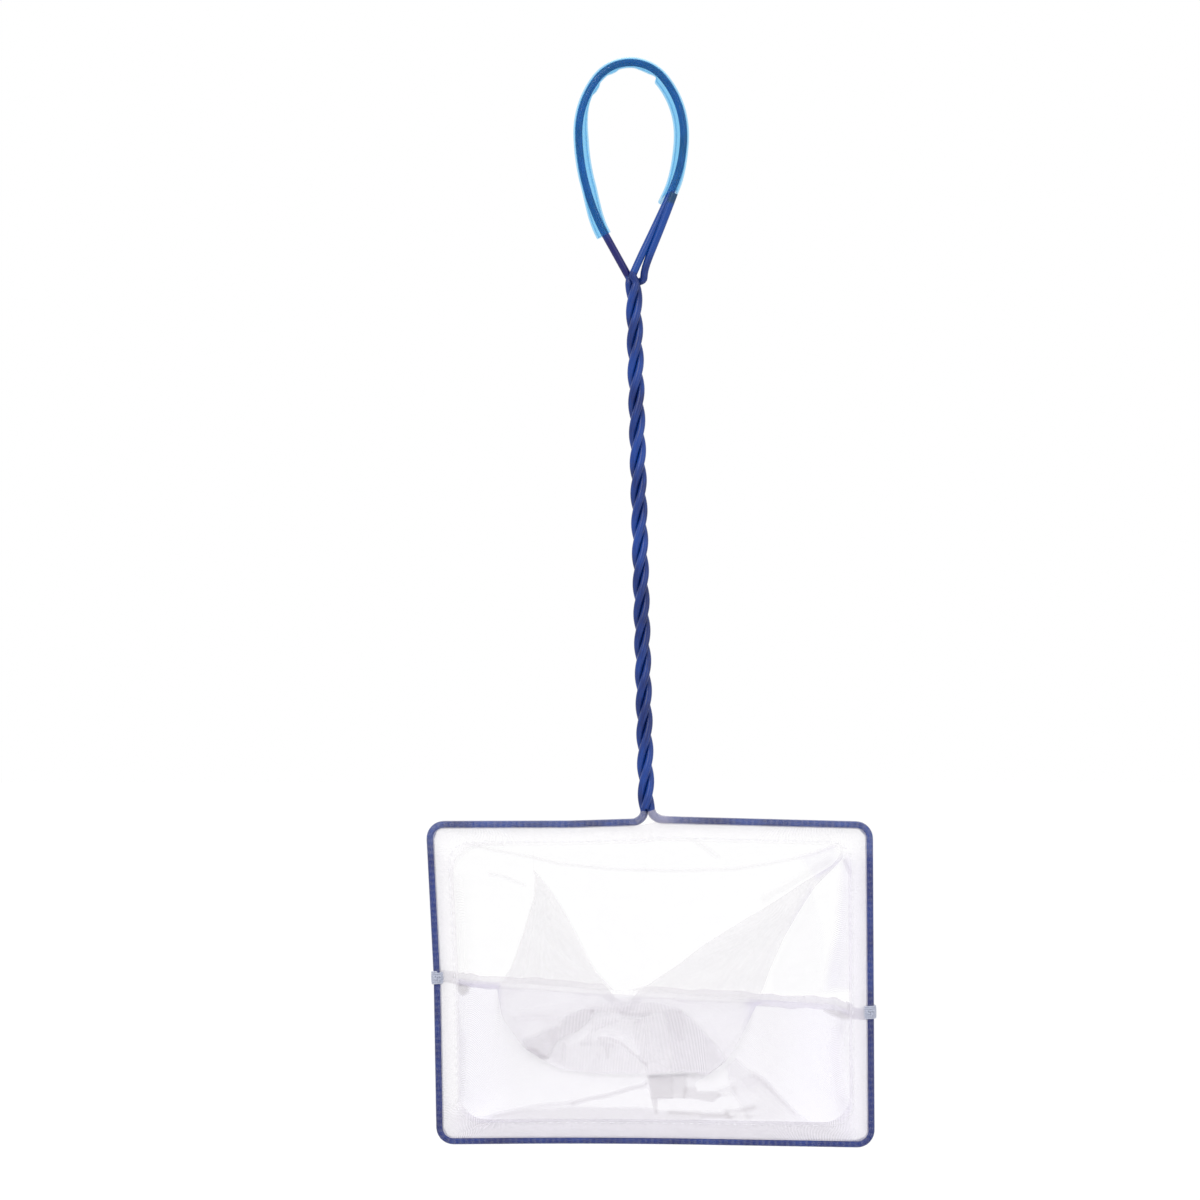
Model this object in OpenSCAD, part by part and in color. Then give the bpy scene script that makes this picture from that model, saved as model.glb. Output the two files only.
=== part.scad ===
// Aquarium fish net: a hoop of plastic-coated wire whose two ends are twisted, with the wire's own
// return, into a three-strand handle that ends in a sleeved hanging loop; a mesh bag is sewn on the hoop.
// The net hangs from its loop. The origin is where a hook bears, on the sleeve's inner side at the
// top of the loop. +Z is up, +X is right, and the bag reaches back along +Y from the hoop at Y = 0.

/* [Wire] */
// Outer diameter of the coated wire
wire_d = 2.6; // [2.2:0.1:3]
// Diameter of the steel core
core_d = 1.6; // [1:0.1:1.8]

/* [Hoop] */
// Width between the wire centres at the top corners
hoop_top_w = 149; // [120:1:180]
// Width between the wire centres at the bottom corners
hoop_bottom_w = 146; // [118:1:178]
// Height between the top and bottom wire centres, at the left side
hoop_h = 107.5; // [85:0.5:130]
// Bend radius of the hoop's corners, at the wire's centre
corner_r = 4.6; // [3.5:0.1:7]
// Depth of the rails below the end of the twist
rail_drop = 5.7; // [5:0.1:8]

/* [Handle] */
// Length of the twist
twist_len = 177.5; // [120:0.5:240]
// Length of one full turn of the twist
twist_pitch = 30.7; // [26:0.1:40]
// Lean of the handle to the left, in degrees
handle_lean = 1.4; // [0:0.1:3]

/* [Hanging loop] */
// Width between the wire centres at the widest place
loop_w = 35.2; // [32:0.1:42]
// Bend radius at the top of the loop
loop_top_r = 14.1; // [12:0.1:15.5]
// Bend radius of the shoulders
shoulder_r = 30.1; // [28:0.1:36]
// Bend radius of the left leg
left_leg_r = 72; // [66:1:80]
// Bend radius of the right leg
right_leg_r = 41; // [34:1:50]

/* [Sleeve] */
// Outer diameter of the clear sleeve
sleeve_d = 5.4; // [5:0.1:6.4]
// Wall of the sleeve
sleeve_wall = 0.55; // [0.4:0.05:0.7]
// Reach of the sleeve down the left leg, from the widest place
sleeve_left = 36.8; // [25:0.1:40]
// Reach of the sleeve down the right leg, from the widest place
sleeve_right = 22.4; // [18:0.1:26]

/* [Net] */
// Depth of the bag behind the hoop
bag_depth = 52; // [40:1:80]
// Width of the casing's flat band, from the wire's centre to its inner edge
casing_w = 7; // [5.5:0.1:9]
// Thickness of one layer of the mesh cloth, as a solid
cloth_t = 0.5; // [0.4:0.05:0.8]
// Width of the seam's turned edge
seam_w = 4.4; // [3.5:0.1:6]
// Drop of the left end of the seam below the top left corner
seam_drop_left = 52; // [35:1:70]
// Drop of the right end of the seam below the top right corner
seam_drop_right = 63.5; // [35:1:75]
// Width of the bag's toe
toe_w = 129; // [100:1:132]
// Radius of the toe's corners
toe_r = 15; // [8:1:22]
// Rise of each panel above a straight line from the mouth to the toe
belly = 7; // [0:0.5:9]

/* [Hidden] */

wire_colour = [0.10, 0.19, 0.50];
steel_colour = "silver";
sleeve_colour = [0.45, 0.78, 0.95, 0.6];
cloth_colour = [0.95, 0.95, 0.97, 0.6];
thread_colour = [0.98, 0.98, 0.98];

// Lateral set of the hand-bent hoop, from the middle of the neck
hoop_shift = 0.8;
bottom_shift = 2.1;
bottom_drop_right = 1.1;
left_bow = 0.9;
bow_r = 60;
rail_bend_reach = 48;
rail_bend_rise = 0.15;
neck_rise_left = 0.9;
neck_rise_right = 2;
neck_vertex_left = 1;
neck_vertex_right = 2.5;
neck_vertex_r = 3;
neck_reach_left = 5.6;
neck_reach_right = 7;

// Wire: the core's clearance in its coat, and a short straight at each bend's end
core_clear = 0.04;
overrun = 1;
lead = 0.5;

// Twist: three strands lie round the axis and nearly touch, so their centres stand this far out
strand_gap = 0.14;
twist_r = (wire_d + strand_gap) / sqrt(3);
strand_phase_left = 128.4;
strand_phase_right = 8.4;
strand_phase_return = 248.4;
turn_steps = 13;
coat_sides = 8;
core_sides = 6;
bend_steps = 7;
arc_step_angle = 15;
bend_reach_share = 1.2;

// Loop: the legs' angles at the twist, and how far from the axis and above the twist they end
left_leg_angle = 32;
right_leg_angle = 24;
left_leg_out = 2.7;
right_leg_out = 1.8;
leg_rise = 7.2;
tail_spread = 0.8;
tail_swing_foot = 35;
tail_swing_top = 50;
tail_end_gap = 0.3;
tail_steps = 6;

loop_sides = 10;
loop_step_angle = 8;
sleeve_clear = 0.15;
sleeve_sides = 12;
casing_sides = 12;
casing_bend_steps = 5;

// Cloth: clearances, stitch sizes and the bag's shape
casing_clear = 0.1;
seat_gap = 0.05;
band_corner_r = 8.5;
thread_d = 0.35;
stitch_len = 1.9;
stitch_pitch = 3;
stitch_inset = 1.1;
seam_clear = 0.15;
lashing_len = 4.8;
lashing_wall = 0.7;
lashing_clear = 0.15;
rim_start = 1.6;
toe_fall_left = 2;
toe_rise_right = 4;
panel_columns = 30;
panel_rows = 7;
bag_middle_share = 0.4;

// Points of the hoop's wire, as [x, z] from the middle of the neck
top_left = [hoop_shift - hoop_top_w / 2, -rail_drop];
top_right = [hoop_shift + hoop_top_w / 2, -rail_drop];
bottom_left = [hoop_shift + bottom_shift - hoop_bottom_w / 2, -rail_drop - hoop_h];
bottom_right = [hoop_shift + bottom_shift + hoop_bottom_w / 2, -rail_drop - hoop_h - bottom_drop_right];
rail_bend = top_left + [rail_bend_reach, rail_bend_rise];
neck_left = [-neck_vertex_left, neck_rise_left - rail_drop];
neck_right = [neck_vertex_right, neck_rise_right - rail_drop];
left_lash = along(top_left, bottom_left, seam_drop_left) + [left_bow, 0];
right_lash = along(top_right, bottom_right, seam_drop_right);
rail_start_left = along(neck_left, rail_bend, neck_reach_left - neck_vertex_left);
rail_start_right = along(neck_right, top_right, neck_reach_right - neck_vertex_right);
hoop_path = [rail_start_left, rail_bend, top_left, left_lash, bottom_left, bottom_right, top_right,
    rail_start_right];
hoop_radii = [bow_r, corner_r, bow_r, corner_r, corner_r, corner_r];
hoop_outline = [top_left, rail_bend, neck_left, neck_right, top_right, bottom_right, bottom_left,
    left_lash];

// Loop's arcs, from its widest level
loop_top_half = asin((shoulder_r - loop_w / 2) / (shoulder_r - loop_top_r));
loop_rise = loop_top_r + (shoulder_r - loop_top_r) * cos(loop_top_half);
left_arc_end = [left_leg_r * (1 - cos(left_leg_angle)) - loop_w / 2, -left_leg_r * sin(left_leg_angle)];
right_arc_end = [loop_w / 2 - right_leg_r * (1 - cos(right_leg_angle)),
    -right_leg_r * sin(right_leg_angle)];
left_leg_end = [-left_leg_out,
    left_arc_end[1] + (left_arc_end[0] + left_leg_out) / tan(left_leg_angle)];
right_leg_end = [right_leg_out,
    right_arc_end[1] - (right_arc_end[0] - right_leg_out) / tan(right_leg_angle)];
straight_left = norm(left_leg_end - left_arc_end);
straight_right = norm(right_leg_end - right_arc_end);
loop_wide_z = twist_len + leg_rise - right_leg_end[1];
sleeve_inset = sleeve_d / 2 - sleeve_wall - wire_d / 2 - sleeve_clear;
sleeve_straight = sleeve_right - right_leg_r * right_leg_angle * PI / 180;
tail_len = straight_right - sleeve_straight - tail_end_gap;
hook_z = loop_wide_z + loop_rise - sleeve_inset - sleeve_d / 2;
neck = [hook_z * sin(handle_lean), -hook_z * cos(handle_lean)];

// Casing: the outer radius of its sleeve round the wire, and the offsets of its band's two edges
casing_r = wire_d / 2 + casing_clear + cloth_t;
band_outer = casing_r + seat_gap;
band_outer_r = corner_r - band_outer;

// Bag: each panel's edge at the mouth, and the seam in plan, as [x, y]
panel_start_y = cloth_t + seat_gap;
panel_inset = casing_w - 2 * cloth_t;
upper_rim = rounded_run(
    inset_run([along(left_lash, top_left, rim_start), top_left, rail_bend, neck_left, neck_right, top_right,
        along(right_lash, top_right, rim_start)], panel_inset),
    [band_corner_r, bow_r, neck_vertex_r, neck_vertex_r, band_corner_r]);
lower_rim = rounded_run(
    inset_run([along(left_lash, bottom_left, rim_start), bottom_left, bottom_right,
        along(right_lash, bottom_right, rim_start)], -panel_inset),
    [band_corner_r, band_corner_r]);
seam_from = [upper_rim[0][0], panel_start_y];
seam_to = [upper_rim[len(upper_rim) - 1][0], panel_start_y];
bag_middle_x = (seam_from[0] + seam_to[0]) / 2;
seam_plan = evenly(rounded_run(
    [seam_from, [bag_middle_x - toe_w / 2, bag_depth], [bag_middle_x + toe_w / 2, bag_depth], seam_to],
    [toe_r, toe_r]), panel_columns);
bag_middle = [bag_middle_x, bag_depth * bag_middle_share, seam_height([bag_middle_x, 0])];

left_side_way = unit(top_left - bottom_left);
right_side_way = unit(top_right - bottom_right);

// Plane geometry
function along(from, to, length) = from + (to - from) * length / norm(to - from);
function unit(v) = v / norm(v);
function turned(v) = [-v[1], v[0]];
function cross2(a, b) = a[0] * b[1] - a[1] * b[0];
// The seam's height at a place in plan: it runs from lashing to lashing, and its toe lies more level
function seam_height(plan) =
    let (across = (plan[0] - left_lash[0]) / (right_lash[0] - left_lash[0]),
        back = plan[1] / bag_depth)
    left_lash[1] + (right_lash[1] - left_lash[1]) * across
        + back * (toe_rise_right * across - toe_fall_left * (1 - across));
// Where the lines through a and b, along u and v, meet
function meet(a, u, b, v) = a + u * cross2(b - a, v) / cross2(u, v);
// A run of points moved to its right by d
function inset_run(run, d) = [
    for (i = [0 : len(run) - 1])
        let (u = unit(run[max(i, 1)] - run[max(i, 1) - 1]),
            v = unit(run[min(i, len(run) - 2) + 1] - run[min(i, len(run) - 2)]))
        i == 0 ? run[i] - turned(v) * d
            : i == len(run) - 1 ? run[i] - turned(u) * d
                : meet(run[i] - turned(u) * d, u, run[i] - turned(v) * d, v)
];
// The points of an arc of radius r that rounds the corner at b, between a and c
function corner_arc(a, b, c, r) =
    let (u = unit(a - b),
        v = unit(c - b),
        half = acos(u * v) / 2,
        centre = b + unit(u + v) * r / sin(half),
        start = b + u * r / tan(half) - centre,
        sweep = (180 - 2 * half) * sign(cross2(start, b + v * r / tan(half) - centre)),
        steps = max(1, round(abs(sweep) / arc_step_angle)))
    [for (i = [0 : steps]) centre + rotated(start, sweep * i / steps)];
function rotated(v, angle) =
    [v[0] * cos(angle) - v[1] * sin(angle), v[0] * sin(angle) + v[1] * cos(angle)];
function corner_arcs(run, radii) = [
    for (i = [1 : len(run) - 2]) each corner_arc(run[i - 1], run[i], run[i + 1], radii[i - 1])
];
function rounded_run(run, radii) = concat([run[0]], corner_arcs(run, radii), [run[len(run) - 1]]);
// A closed outline, listed clockwise, with its first and last points repeated at its ends
function wrapped(outline) = concat([outline[len(outline) - 1]], outline, [outline[0]]);
function inset(outline, d) =
    let (moved = inset_run(wrapped(outline), d))
    [for (i = [1 : len(outline)]) moved[i]];
function rounded(outline, radii) = corner_arcs(wrapped(outline), radii);
// A run's points spread evenly over its length, steps + 1 of them
function evenly(run, steps) =
    let (lengths = [for (i = 0, sum = 0; i < len(run); i = i + 1,
            sum = sum + (i < len(run) ? norm(run[i] - run[i - 1]) : 0)) sum],
        all = lengths[len(run) - 1])
    [for (k = [0 : steps])
        let (goal = all * k / steps,
            i = min(len(run) - 2, max([for (n = [0 : len(run) - 1]) if (lengths[n] <= goal) n])))
        run[i] + (run[i + 1] - run[i]) * (goal - lengths[i]) / (lengths[i + 1] - lengths[i])];

// Places on the handle, as [x, y, z] from the middle of the neck
function lean(p) = [p[0] * cos(handle_lean) - p[2] * sin(handle_lean), p[1],
    p[0] * sin(handle_lean) + p[2] * cos(handle_lean)];
function lift(p, y = 0) = [p[0], y, p[1]];
function strand_point(phase, z) =
    lean([twist_r * cos(phase + 360 * z / twist_pitch), twist_r * sin(phase + 360 * z / twist_pitch), z]);
function strand_run(phase) =
    let (steps = round(turn_steps * twist_len / twist_pitch))
    [for (i = [0 : steps]) strand_point(phase, twist_len * i / steps)];
function strand_way(phase, z) =
    unit(strand_point(phase, z + twist_pitch / 360) - strand_point(phase, z));
// A smooth bend from a to b that leaves along u and arrives along v, with a short straight at each end
function bend(a, u, b, v) =
    let (p = a + u * lead,
        q = b - v * lead,
        reach = norm(q - p) * bend_reach_share)
    concat([for (i = [0 : bend_steps])
        let (t = i / bend_steps)
        p * (2 * pow(t, 3) - 3 * pow(t, 2) + 1) + u * reach * (pow(t, 3) - 2 * pow(t, 2) + t)
            + q * (3 * pow(t, 2) - 2 * pow(t, 3)) + v * reach * (pow(t, 3) - pow(t, 2))], [b]);

// Routes of the three strands, from the hoop to the loop
function neck_bend(phase, rail_start, rail_next) =
    let (way = unit(lift(rail_start - rail_next)))
    concat([lift(rail_start)], bend(lift(rail_start), way, strand_point(phase, 0), strand_way(phase, 0)));
function all_but_first(list) = [for (i = [1 : len(list) - 1]) list[i]];
function reversed(list) = [for (i = [len(list) - 1 : -1 : 0]) list[i]];
leg_up_left = lean([-sin(left_leg_angle), 0, cos(left_leg_angle)]);
leg_up_right = lean([sin(right_leg_angle), 0, cos(right_leg_angle)]);
right_leg_side = lean([cos(right_leg_angle), 0, -sin(right_leg_angle)]);
left_leg_foot = lean([left_leg_end[0], 0, left_leg_end[1] + loop_wide_z]);
right_leg_foot = lean([right_leg_end[0], 0, right_leg_end[1] + loop_wide_z]);
// The cut tail closes up to the right leg and runs up beside it, a little behind
function tail_point(share) =
    let (swing = tail_swing_foot + (tail_swing_top - tail_swing_foot) * share)
    right_leg_foot + leg_up_right * tail_len * share
        + (right_leg_side * cos(swing) + [0, sin(swing), 0])
        * (wire_d + strand_gap + tail_spread * pow(1 - share, 3));
tail_run = [for (i = [0 : tail_steps]) tail_point(i / tail_steps)];
function strand_top(phase, foot, way) =
    bend(strand_point(phase, twist_len), strand_way(phase, twist_len), foot, way);
right_neck_bend = neck_bend(strand_phase_right, rail_start_right, top_right);
left_neck_bend = neck_bend(strand_phase_left, rail_start_left, rail_bend);
right_strand_path = concat(
    right_neck_bend,
    all_but_first(strand_run(strand_phase_right)),
    strand_top(strand_phase_right, right_leg_foot, leg_up_right));
left_strand_path = concat(
    left_neck_bend,
    all_but_first(strand_run(strand_phase_left)),
    strand_top(strand_phase_left, tail_run[0], unit(tail_run[1] - tail_run[0])),
    all_but_first(tail_run));
return_strand_path = concat(
    strand_run(strand_phase_return),
    strand_top(strand_phase_return, left_leg_foot, leg_up_left));

// The hoop's wire, and the loop's arcs and straights from the left leg's foot to the right one's
hoop_run = [for (p = rounded_run(hoop_path, hoop_radii)) lift(p)];
function first_of(list, count) = [for (i = [0 : count - 1]) list[i]];
casing_run = concat(reversed(first_of(left_neck_bend, casing_bend_steps)), all_but_first(hoop_run),
    all_but_first(first_of(right_neck_bend, casing_bend_steps)));
function arc_run(centre, r, start, sweep) =
    [for (i = [0 : ceil(abs(sweep) / loop_step_angle)])
        let (angle = start + sign(sweep) * min(i * loop_step_angle, abs(sweep)))
        centre + r * [cos(angle), sin(angle)]];
// Arcs drawn in by draw_in, with the angle that each leg's arc covers and the straight after it
function loop_run(draw_in, left_angle, left_straight, right_angle, right_straight) =
    let (shoulder_x = shoulder_r - loop_w / 2,
        left_r = left_leg_r - draw_in,
        right_r = right_leg_r - draw_in,
        left_arc = reversed(arc_run([left_leg_r - loop_w / 2, 0], left_r, 180, left_angle)),
        left_shoulder = arc_run([shoulder_x, 0], shoulder_r - draw_in, 180, loop_top_half - 90),
        top = arc_run([0, loop_rise - loop_top_r], loop_top_r - draw_in, 90 + loop_top_half,
            -2 * loop_top_half),
        right_shoulder = arc_run([-shoulder_x, 0], shoulder_r - draw_in, 90 - loop_top_half,
            loop_top_half - 90),
        right_arc = arc_run([loop_w / 2 - right_leg_r, 0], right_r, 0, -right_angle),
        left_foot = left_arc[0] + left_straight * [sin(left_angle), -cos(left_angle)],
        right_foot = right_arc[len(right_arc) - 1]
            - right_straight * [sin(right_angle), cos(right_angle)],
        run = concat(left_straight > 0 ? [left_foot] : [], left_arc, all_but_first(left_shoulder),
            all_but_first(top), all_but_first(right_shoulder), all_but_first(right_arc), [right_foot]))
    [for (p = run) lean([p[0], 0, p[1] + loop_wide_z])];
loop_path = loop_run(0, left_leg_angle, straight_left, right_leg_angle, straight_right);
sleeve_path = loop_run(sleeve_inset, sleeve_left / left_leg_r * 180 / PI, 0, right_leg_angle,
    sleeve_straight);

// A ring of points round each point of a path, square to the path
function path_way(path, i) =
    unit(path[min(i + 1, len(path) - 1)] - path[max(i - 1, 0)]);
function ring(centre, way, d, sides) =
    let (across = unit([0, 1, 0] - way * way[1]),
        beside = cross(way, across))
    [for (k = [0 : sides - 1])
        centre + (across * cos(360 * k / sides) + beside * sin(360 * k / sides)) * d / 2];
function rings(path, d, sides) =
    [for (i = [0 : len(path) - 1]) each ring(path[i], path_way(path, i), d, sides)];
// The two triangles of each cell between the rings from base on, wound outwards
function skin(count, sides, base, out) = [
    for (i = [0 : count - 2], k = [0 : sides - 1])
        let (a = base + i * sides + k,
            b = base + i * sides + (k + 1) % sides,
            c = a + sides,
            d = b + sides)
        each (out ? [[a, c, b], [b, c, d]] : [[a, b, c], [b, d, c]])
];
// A fan over the ring that starts at base
function lid(sides, base, out) = [
    for (k = [1 : sides - 2]) out ? [base, base + k, base + k + 1] : [base, base + k + 1, base + k]
];

// A path's end moved on by the overrun, for a bore that passes through
function overrun_path(path) =
    let (last = len(path) - 1)
    concat([path[0] - path_way(path, 0) * overrun], path, [path[last] + path_way(path, last) * overrun]);

// A solid rod along a path
module rod(path, d, sides) {
    count = len(path);
    polyhedron(rings(path, d, sides),
        concat(skin(count, sides, 0, true), lid(sides, 0, true), lid(sides, (count - 1) * sides, false)));
}

// A tube along a path
module tube(path, outer, inner, outer_sides, inner_sides) {
    difference() {
        rod(path, outer, outer_sides);
        rod(overrun_path(path), inner, inner_sides);
    }
}

module on_neck() {
    translate(lift(neck)) children();
}

module coating(path, sides) {
    color(wire_colour) on_neck() tube(path, wire_d, core_d + core_clear, sides, core_sides);
}
module core(path) {
    color(steel_colour) on_neck() rod(path, core_d, core_sides);
}
module loop_sleeve() {
    color(sleeve_colour) on_neck()
        tube(sleeve_path, sleeve_d, sleeve_d - 2 * sleeve_wall, sleeve_sides, sleeve_sides);
}

// The mesh casing: a sleeve round the hoop's wire, and the doubled band that the stitches close
module mouth_casing() {
    color(cloth_colour) on_neck() {
        tube(casing_run, 2 * casing_r, 2 * (casing_r - cloth_t), casing_sides, casing_sides);
        difference() {
            rotate([90, 0, 0])
                translate([0, 0, -cloth_t])
                    linear_extrude(2 * cloth_t) casing_band();
            lashing_ring(left_lash, left_side_way, lashing_clear);
            lashing_ring(right_lash, right_side_way, lashing_clear);
        }
    }
}
module casing_band() {
    difference() {
        polygon(rounded(inset(hoop_outline, band_outer),
            [band_outer_r, bow_r, neck_vertex_r, neck_vertex_r, band_outer_r, band_outer_r, band_outer_r,
                bow_r]));
        polygon(rounded(inset(hoop_outline, casing_w),
            [band_corner_r, bow_r, neck_vertex_r, neck_vertex_r, band_corner_r, band_corner_r, band_corner_r,
                bow_r]));
    }
}

// A straight length of thread from a to b
module thread(a, b) {
    way = b - a;
    translate(a)
        rotate([0, acos(way[2] / norm(way)), atan2(way[1], way[0])])
            cylinder(h = norm(way), d = thread_d, $fn = 16);
}

// Running stitches along the casing's band, lying on its front face
module casing_stitches() {
    run = wrapped(inset(hoop_outline, casing_w - stitch_inset));
    y = -cloth_t - seat_gap - thread_d / 2;
    color(thread_colour) on_neck()
        for (i = [1 : len(run) - 2]) {
            length = norm(run[i + 1] - run[i]);
            count = floor((length - 2 * band_corner_r) / stitch_pitch);
            if (count > 0)
                for (k = [0 : count - 1]) {
                    start = (length - (count - 1) * stitch_pitch - stitch_len) / 2 + k * stitch_pitch;
                    thread(lift(along(run[i], run[i + 1], start), y),
                        lift(along(run[i], run[i + 1], start + stitch_len), y));
                }
        }
}

// Bag: a panel spans from its rim at the mouth back to the seam, and rises between them.
// side is 1 for the upper panel and -1 for the lower one
function panel_point(rim, i, t, side) =
    let (from = lift(rim[i], panel_start_y),
        plan = seam_plan[i],
        to = [plan[0], plan[1], seam_height(plan) + side * seat_gap])
    from + (to - from) * t + [0, 0, side * belly * 4 * t * (1 - t) * sin(180 * i / panel_columns)];
module panel(rim_run, side) {
    rim = evenly(rim_run, panel_columns);
    n = panel_columns + 1;
    m = panel_rows + 1;
    outside = [
        for (j = [0 : panel_rows], i = [0 : panel_columns]) panel_point(rim, i, j / panel_rows, side)
    ];
    inside = [for (p = outside) p + unit(bag_middle + [0, 0, side * seat_gap] - p) * cloth_t];
    skin_faces = [
        for (j = [0 : m - 2], i = [0 : n - 2]) each cell(j * n + i, j * n + i + 1, j * n + n + i)
    ];
    back_faces = [for (f = skin_faces) [f[0] + n * m, f[2] + n * m, f[1] + n * m]];
    edges = concat(
        [for (i = [n - 2 : -1 : 0]) [i + 1, i]],
        [for (i = [0 : n - 2]) [(m - 1) * n + i, (m - 1) * n + i + 1]],
        [for (j = [0 : m - 2]) [j * n, (j + 1) * n]],
        [for (j = [m - 2 : -1 : 0]) [(j + 1) * n + n - 1, j * n + n - 1]]);
    rim_faces = [
        for (e = edges) each [[e[0], e[0] + n * m, e[1]], [e[1], e[0] + n * m, e[1] + n * m]]
    ];
    faces = concat(skin_faces, back_faces, rim_faces);
    polyhedron(concat(outside, inside), side > 0 ? faces : [for (f = faces) [f[0], f[2], f[1]]]);
}
// The two triangles of a panel's cell, from its corner, the next point along the rim and the one behind
function cell(corner, next, behind) = [[corner, behind, next], [next, behind, behind + 1]];
module upper_panel() {
    color(cloth_colour) on_neck() panel(upper_rim, 1);
}
module lower_panel() {
    color(cloth_colour) on_neck() panel(lower_rim, -1);
}

// The seam's turned edge: a strip on the outside of the bag, from one side round the toe to the other
function seam_out(i) =
    let (way = unit(seam_plan[min(i + 1, panel_columns)] - seam_plan[max(i - 1, 0)]))
    turned(way);
function seam_place(i, out, rise = 0) =
    let (p = seam_plan[i] + seam_out(i) * out)
    [p[0], p[1], seam_height(p) + rise];
module bag_seam() {
    inner = seam_clear;
    outer = seam_clear + 2 * cloth_t;
    points = [for (i = [0 : panel_columns]) each [
        seam_place(i, inner, -seam_w / 2), seam_place(i, inner, seam_w / 2),
        seam_place(i, outer, seam_w / 2), seam_place(i, outer, -seam_w / 2)]];
    color(cloth_colour) on_neck()
        polyhedron(points, concat(skin(panel_columns + 1, 4, 0, false), lid(4, 0, false),
            lid(4, panel_columns * 4, true)));
}
module seam_stitches() {
    out = seam_clear + 2 * cloth_t + seat_gap + thread_d / 2;
    share = stitch_len / stitch_pitch;
    color(thread_colour) on_neck()
        for (i = [0 : panel_columns - 1]) {
            a = seam_place(i, out);
            b = seam_place(i + 1, out);
            count = max(1, round(norm(b - a) / stitch_pitch));
            for (k = [0 : count - 1])
                thread(a + (b - a) * (k + (1 - share) / 2) / count,
                    a + (b - a) * (k + (1 + share) / 2) / count);
        }
}

// A lashing of thread round the casing, and with a clearance, the room that the band leaves for it
module lashing_ring(place, way, clear = 0) {
    wall = lashing_wall + 2 * clear;
    length = lashing_len + 2 * clear;
    translate(lift(place))
        rotate([0, atan2(way[0], way[1]), 0])
            rotate_extrude($fn = 48)
                translate([casing_r + lashing_clear - clear, -length / 2]) square([wall, length]);
}
module left_lashing() {
    color(thread_colour) on_neck() lashing_ring(left_lash, left_side_way);
}
module right_lashing() {
    color(thread_colour) on_neck() lashing_ring(right_lash, right_side_way);
}

coating(hoop_run, loop_sides);  // hoop_coating
core(hoop_run);  // hoop_core
coating(left_strand_path, coat_sides);  // left_strand_coating
core(left_strand_path);  // left_strand_core
coating(right_strand_path, coat_sides);  // right_strand_coating
core(right_strand_path);  // right_strand_core
coating(return_strand_path, coat_sides);  // return_strand_coating
core(return_strand_path);  // return_strand_core
coating(loop_path, loop_sides);  // loop_coating
core(loop_path);  // loop_core
loop_sleeve();
mouth_casing();
casing_stitches();
upper_panel();
lower_panel();
bag_seam();
seam_stitches();
left_lashing();
right_lashing();
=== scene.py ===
"""Looks of an aquarium fish net: its coated wire, sleeved hanging loop, mesh bag and studio.

Sizes are in millimetres from the middle of the neck, where the twist meets the hoop, and Neck moves
them into the part's frame: the origin is where a hook bears, +Z is up and the bag reaches back along +Y.
"""

import logging
import math
from dataclasses import dataclass, field
from enum import Enum

import bpy
import numpy as np
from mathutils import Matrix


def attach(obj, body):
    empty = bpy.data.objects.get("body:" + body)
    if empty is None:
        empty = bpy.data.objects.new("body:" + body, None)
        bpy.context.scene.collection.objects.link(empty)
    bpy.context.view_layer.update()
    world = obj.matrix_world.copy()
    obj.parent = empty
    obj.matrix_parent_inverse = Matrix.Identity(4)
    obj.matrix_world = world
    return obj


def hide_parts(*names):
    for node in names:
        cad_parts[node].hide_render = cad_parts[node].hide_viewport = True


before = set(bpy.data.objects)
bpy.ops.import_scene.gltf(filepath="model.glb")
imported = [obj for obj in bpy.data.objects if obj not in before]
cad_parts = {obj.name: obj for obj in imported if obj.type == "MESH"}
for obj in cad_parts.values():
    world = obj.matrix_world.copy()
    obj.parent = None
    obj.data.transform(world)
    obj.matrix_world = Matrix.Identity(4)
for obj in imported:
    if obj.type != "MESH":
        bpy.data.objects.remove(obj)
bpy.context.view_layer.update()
log = logging.getLogger("fish_net")

MM = 0.001
CLOTH_SHARP = 80.0
THREAD_SIDES, STITCH_SIDES = 8, 6
BACK = np.array([0.0, 1.0, 0.0])
Array = np.ndarray
Material, Object, Socket = bpy.types.Material, bpy.types.Object, bpy.types.NodeSocket
Colour = tuple[float, float, float]


class Finish(Enum):
    """The record's material slots, by the finish that each names."""

    WIRE = "wire_coating"
    CORE = "wire_core"
    SLEEVE = "clear_sleeve"
    CASING = "casing_mesh"
    BAG = "bag_mesh"
    SEAM = "seam_mesh"
    THREAD = "thread"


# Plane and path geometry


def unit(vectors: Array) -> Array:
    """Vectors along the last axis, each divided by its length."""
    return vectors / np.linalg.norm(vectors, axis=-1, keepdims=True)


def smooth(values: Array) -> Array:
    """Eases values from 0 to 1: three times the square less twice the cube, held at both ends."""
    held = np.clip(values, 0.0, 1.0)
    return held * held * (3.0 - 2.0 * held)


@dataclass(frozen=True)
class Fade:
    """A share that eases from 0 to 1 while a value goes from start to end, which may be the lower one."""

    start: float
    end: float

    def at(self, values: Array) -> Array:
        """The share for each value."""
        return smooth((values - self.start) / (self.end - self.start))


def travelled(points: Array) -> Array:
    """Length along a run of points, from its first point to each of them."""
    steps = np.linalg.norm(np.diff(points, axis=0), axis=1)
    return np.concatenate([[0.0], np.cumsum(steps)])


def looked_up(places: Array, length: Array, values: Array) -> Array:
    """Reads off what a run carries, one row a point, at given lengths along it."""
    return np.stack([np.interp(places, length, column) for column in values.T], axis=1)


def spaced(points: Array, spacing: float) -> Array:
    """Places new points evenly along a run, about a spacing apart, and keeps its ends."""
    length = travelled(points)
    return looked_up(np.linspace(0.0, length[-1], max(2, int(round(length[-1] / spacing)) + 1)), length, points)


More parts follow.
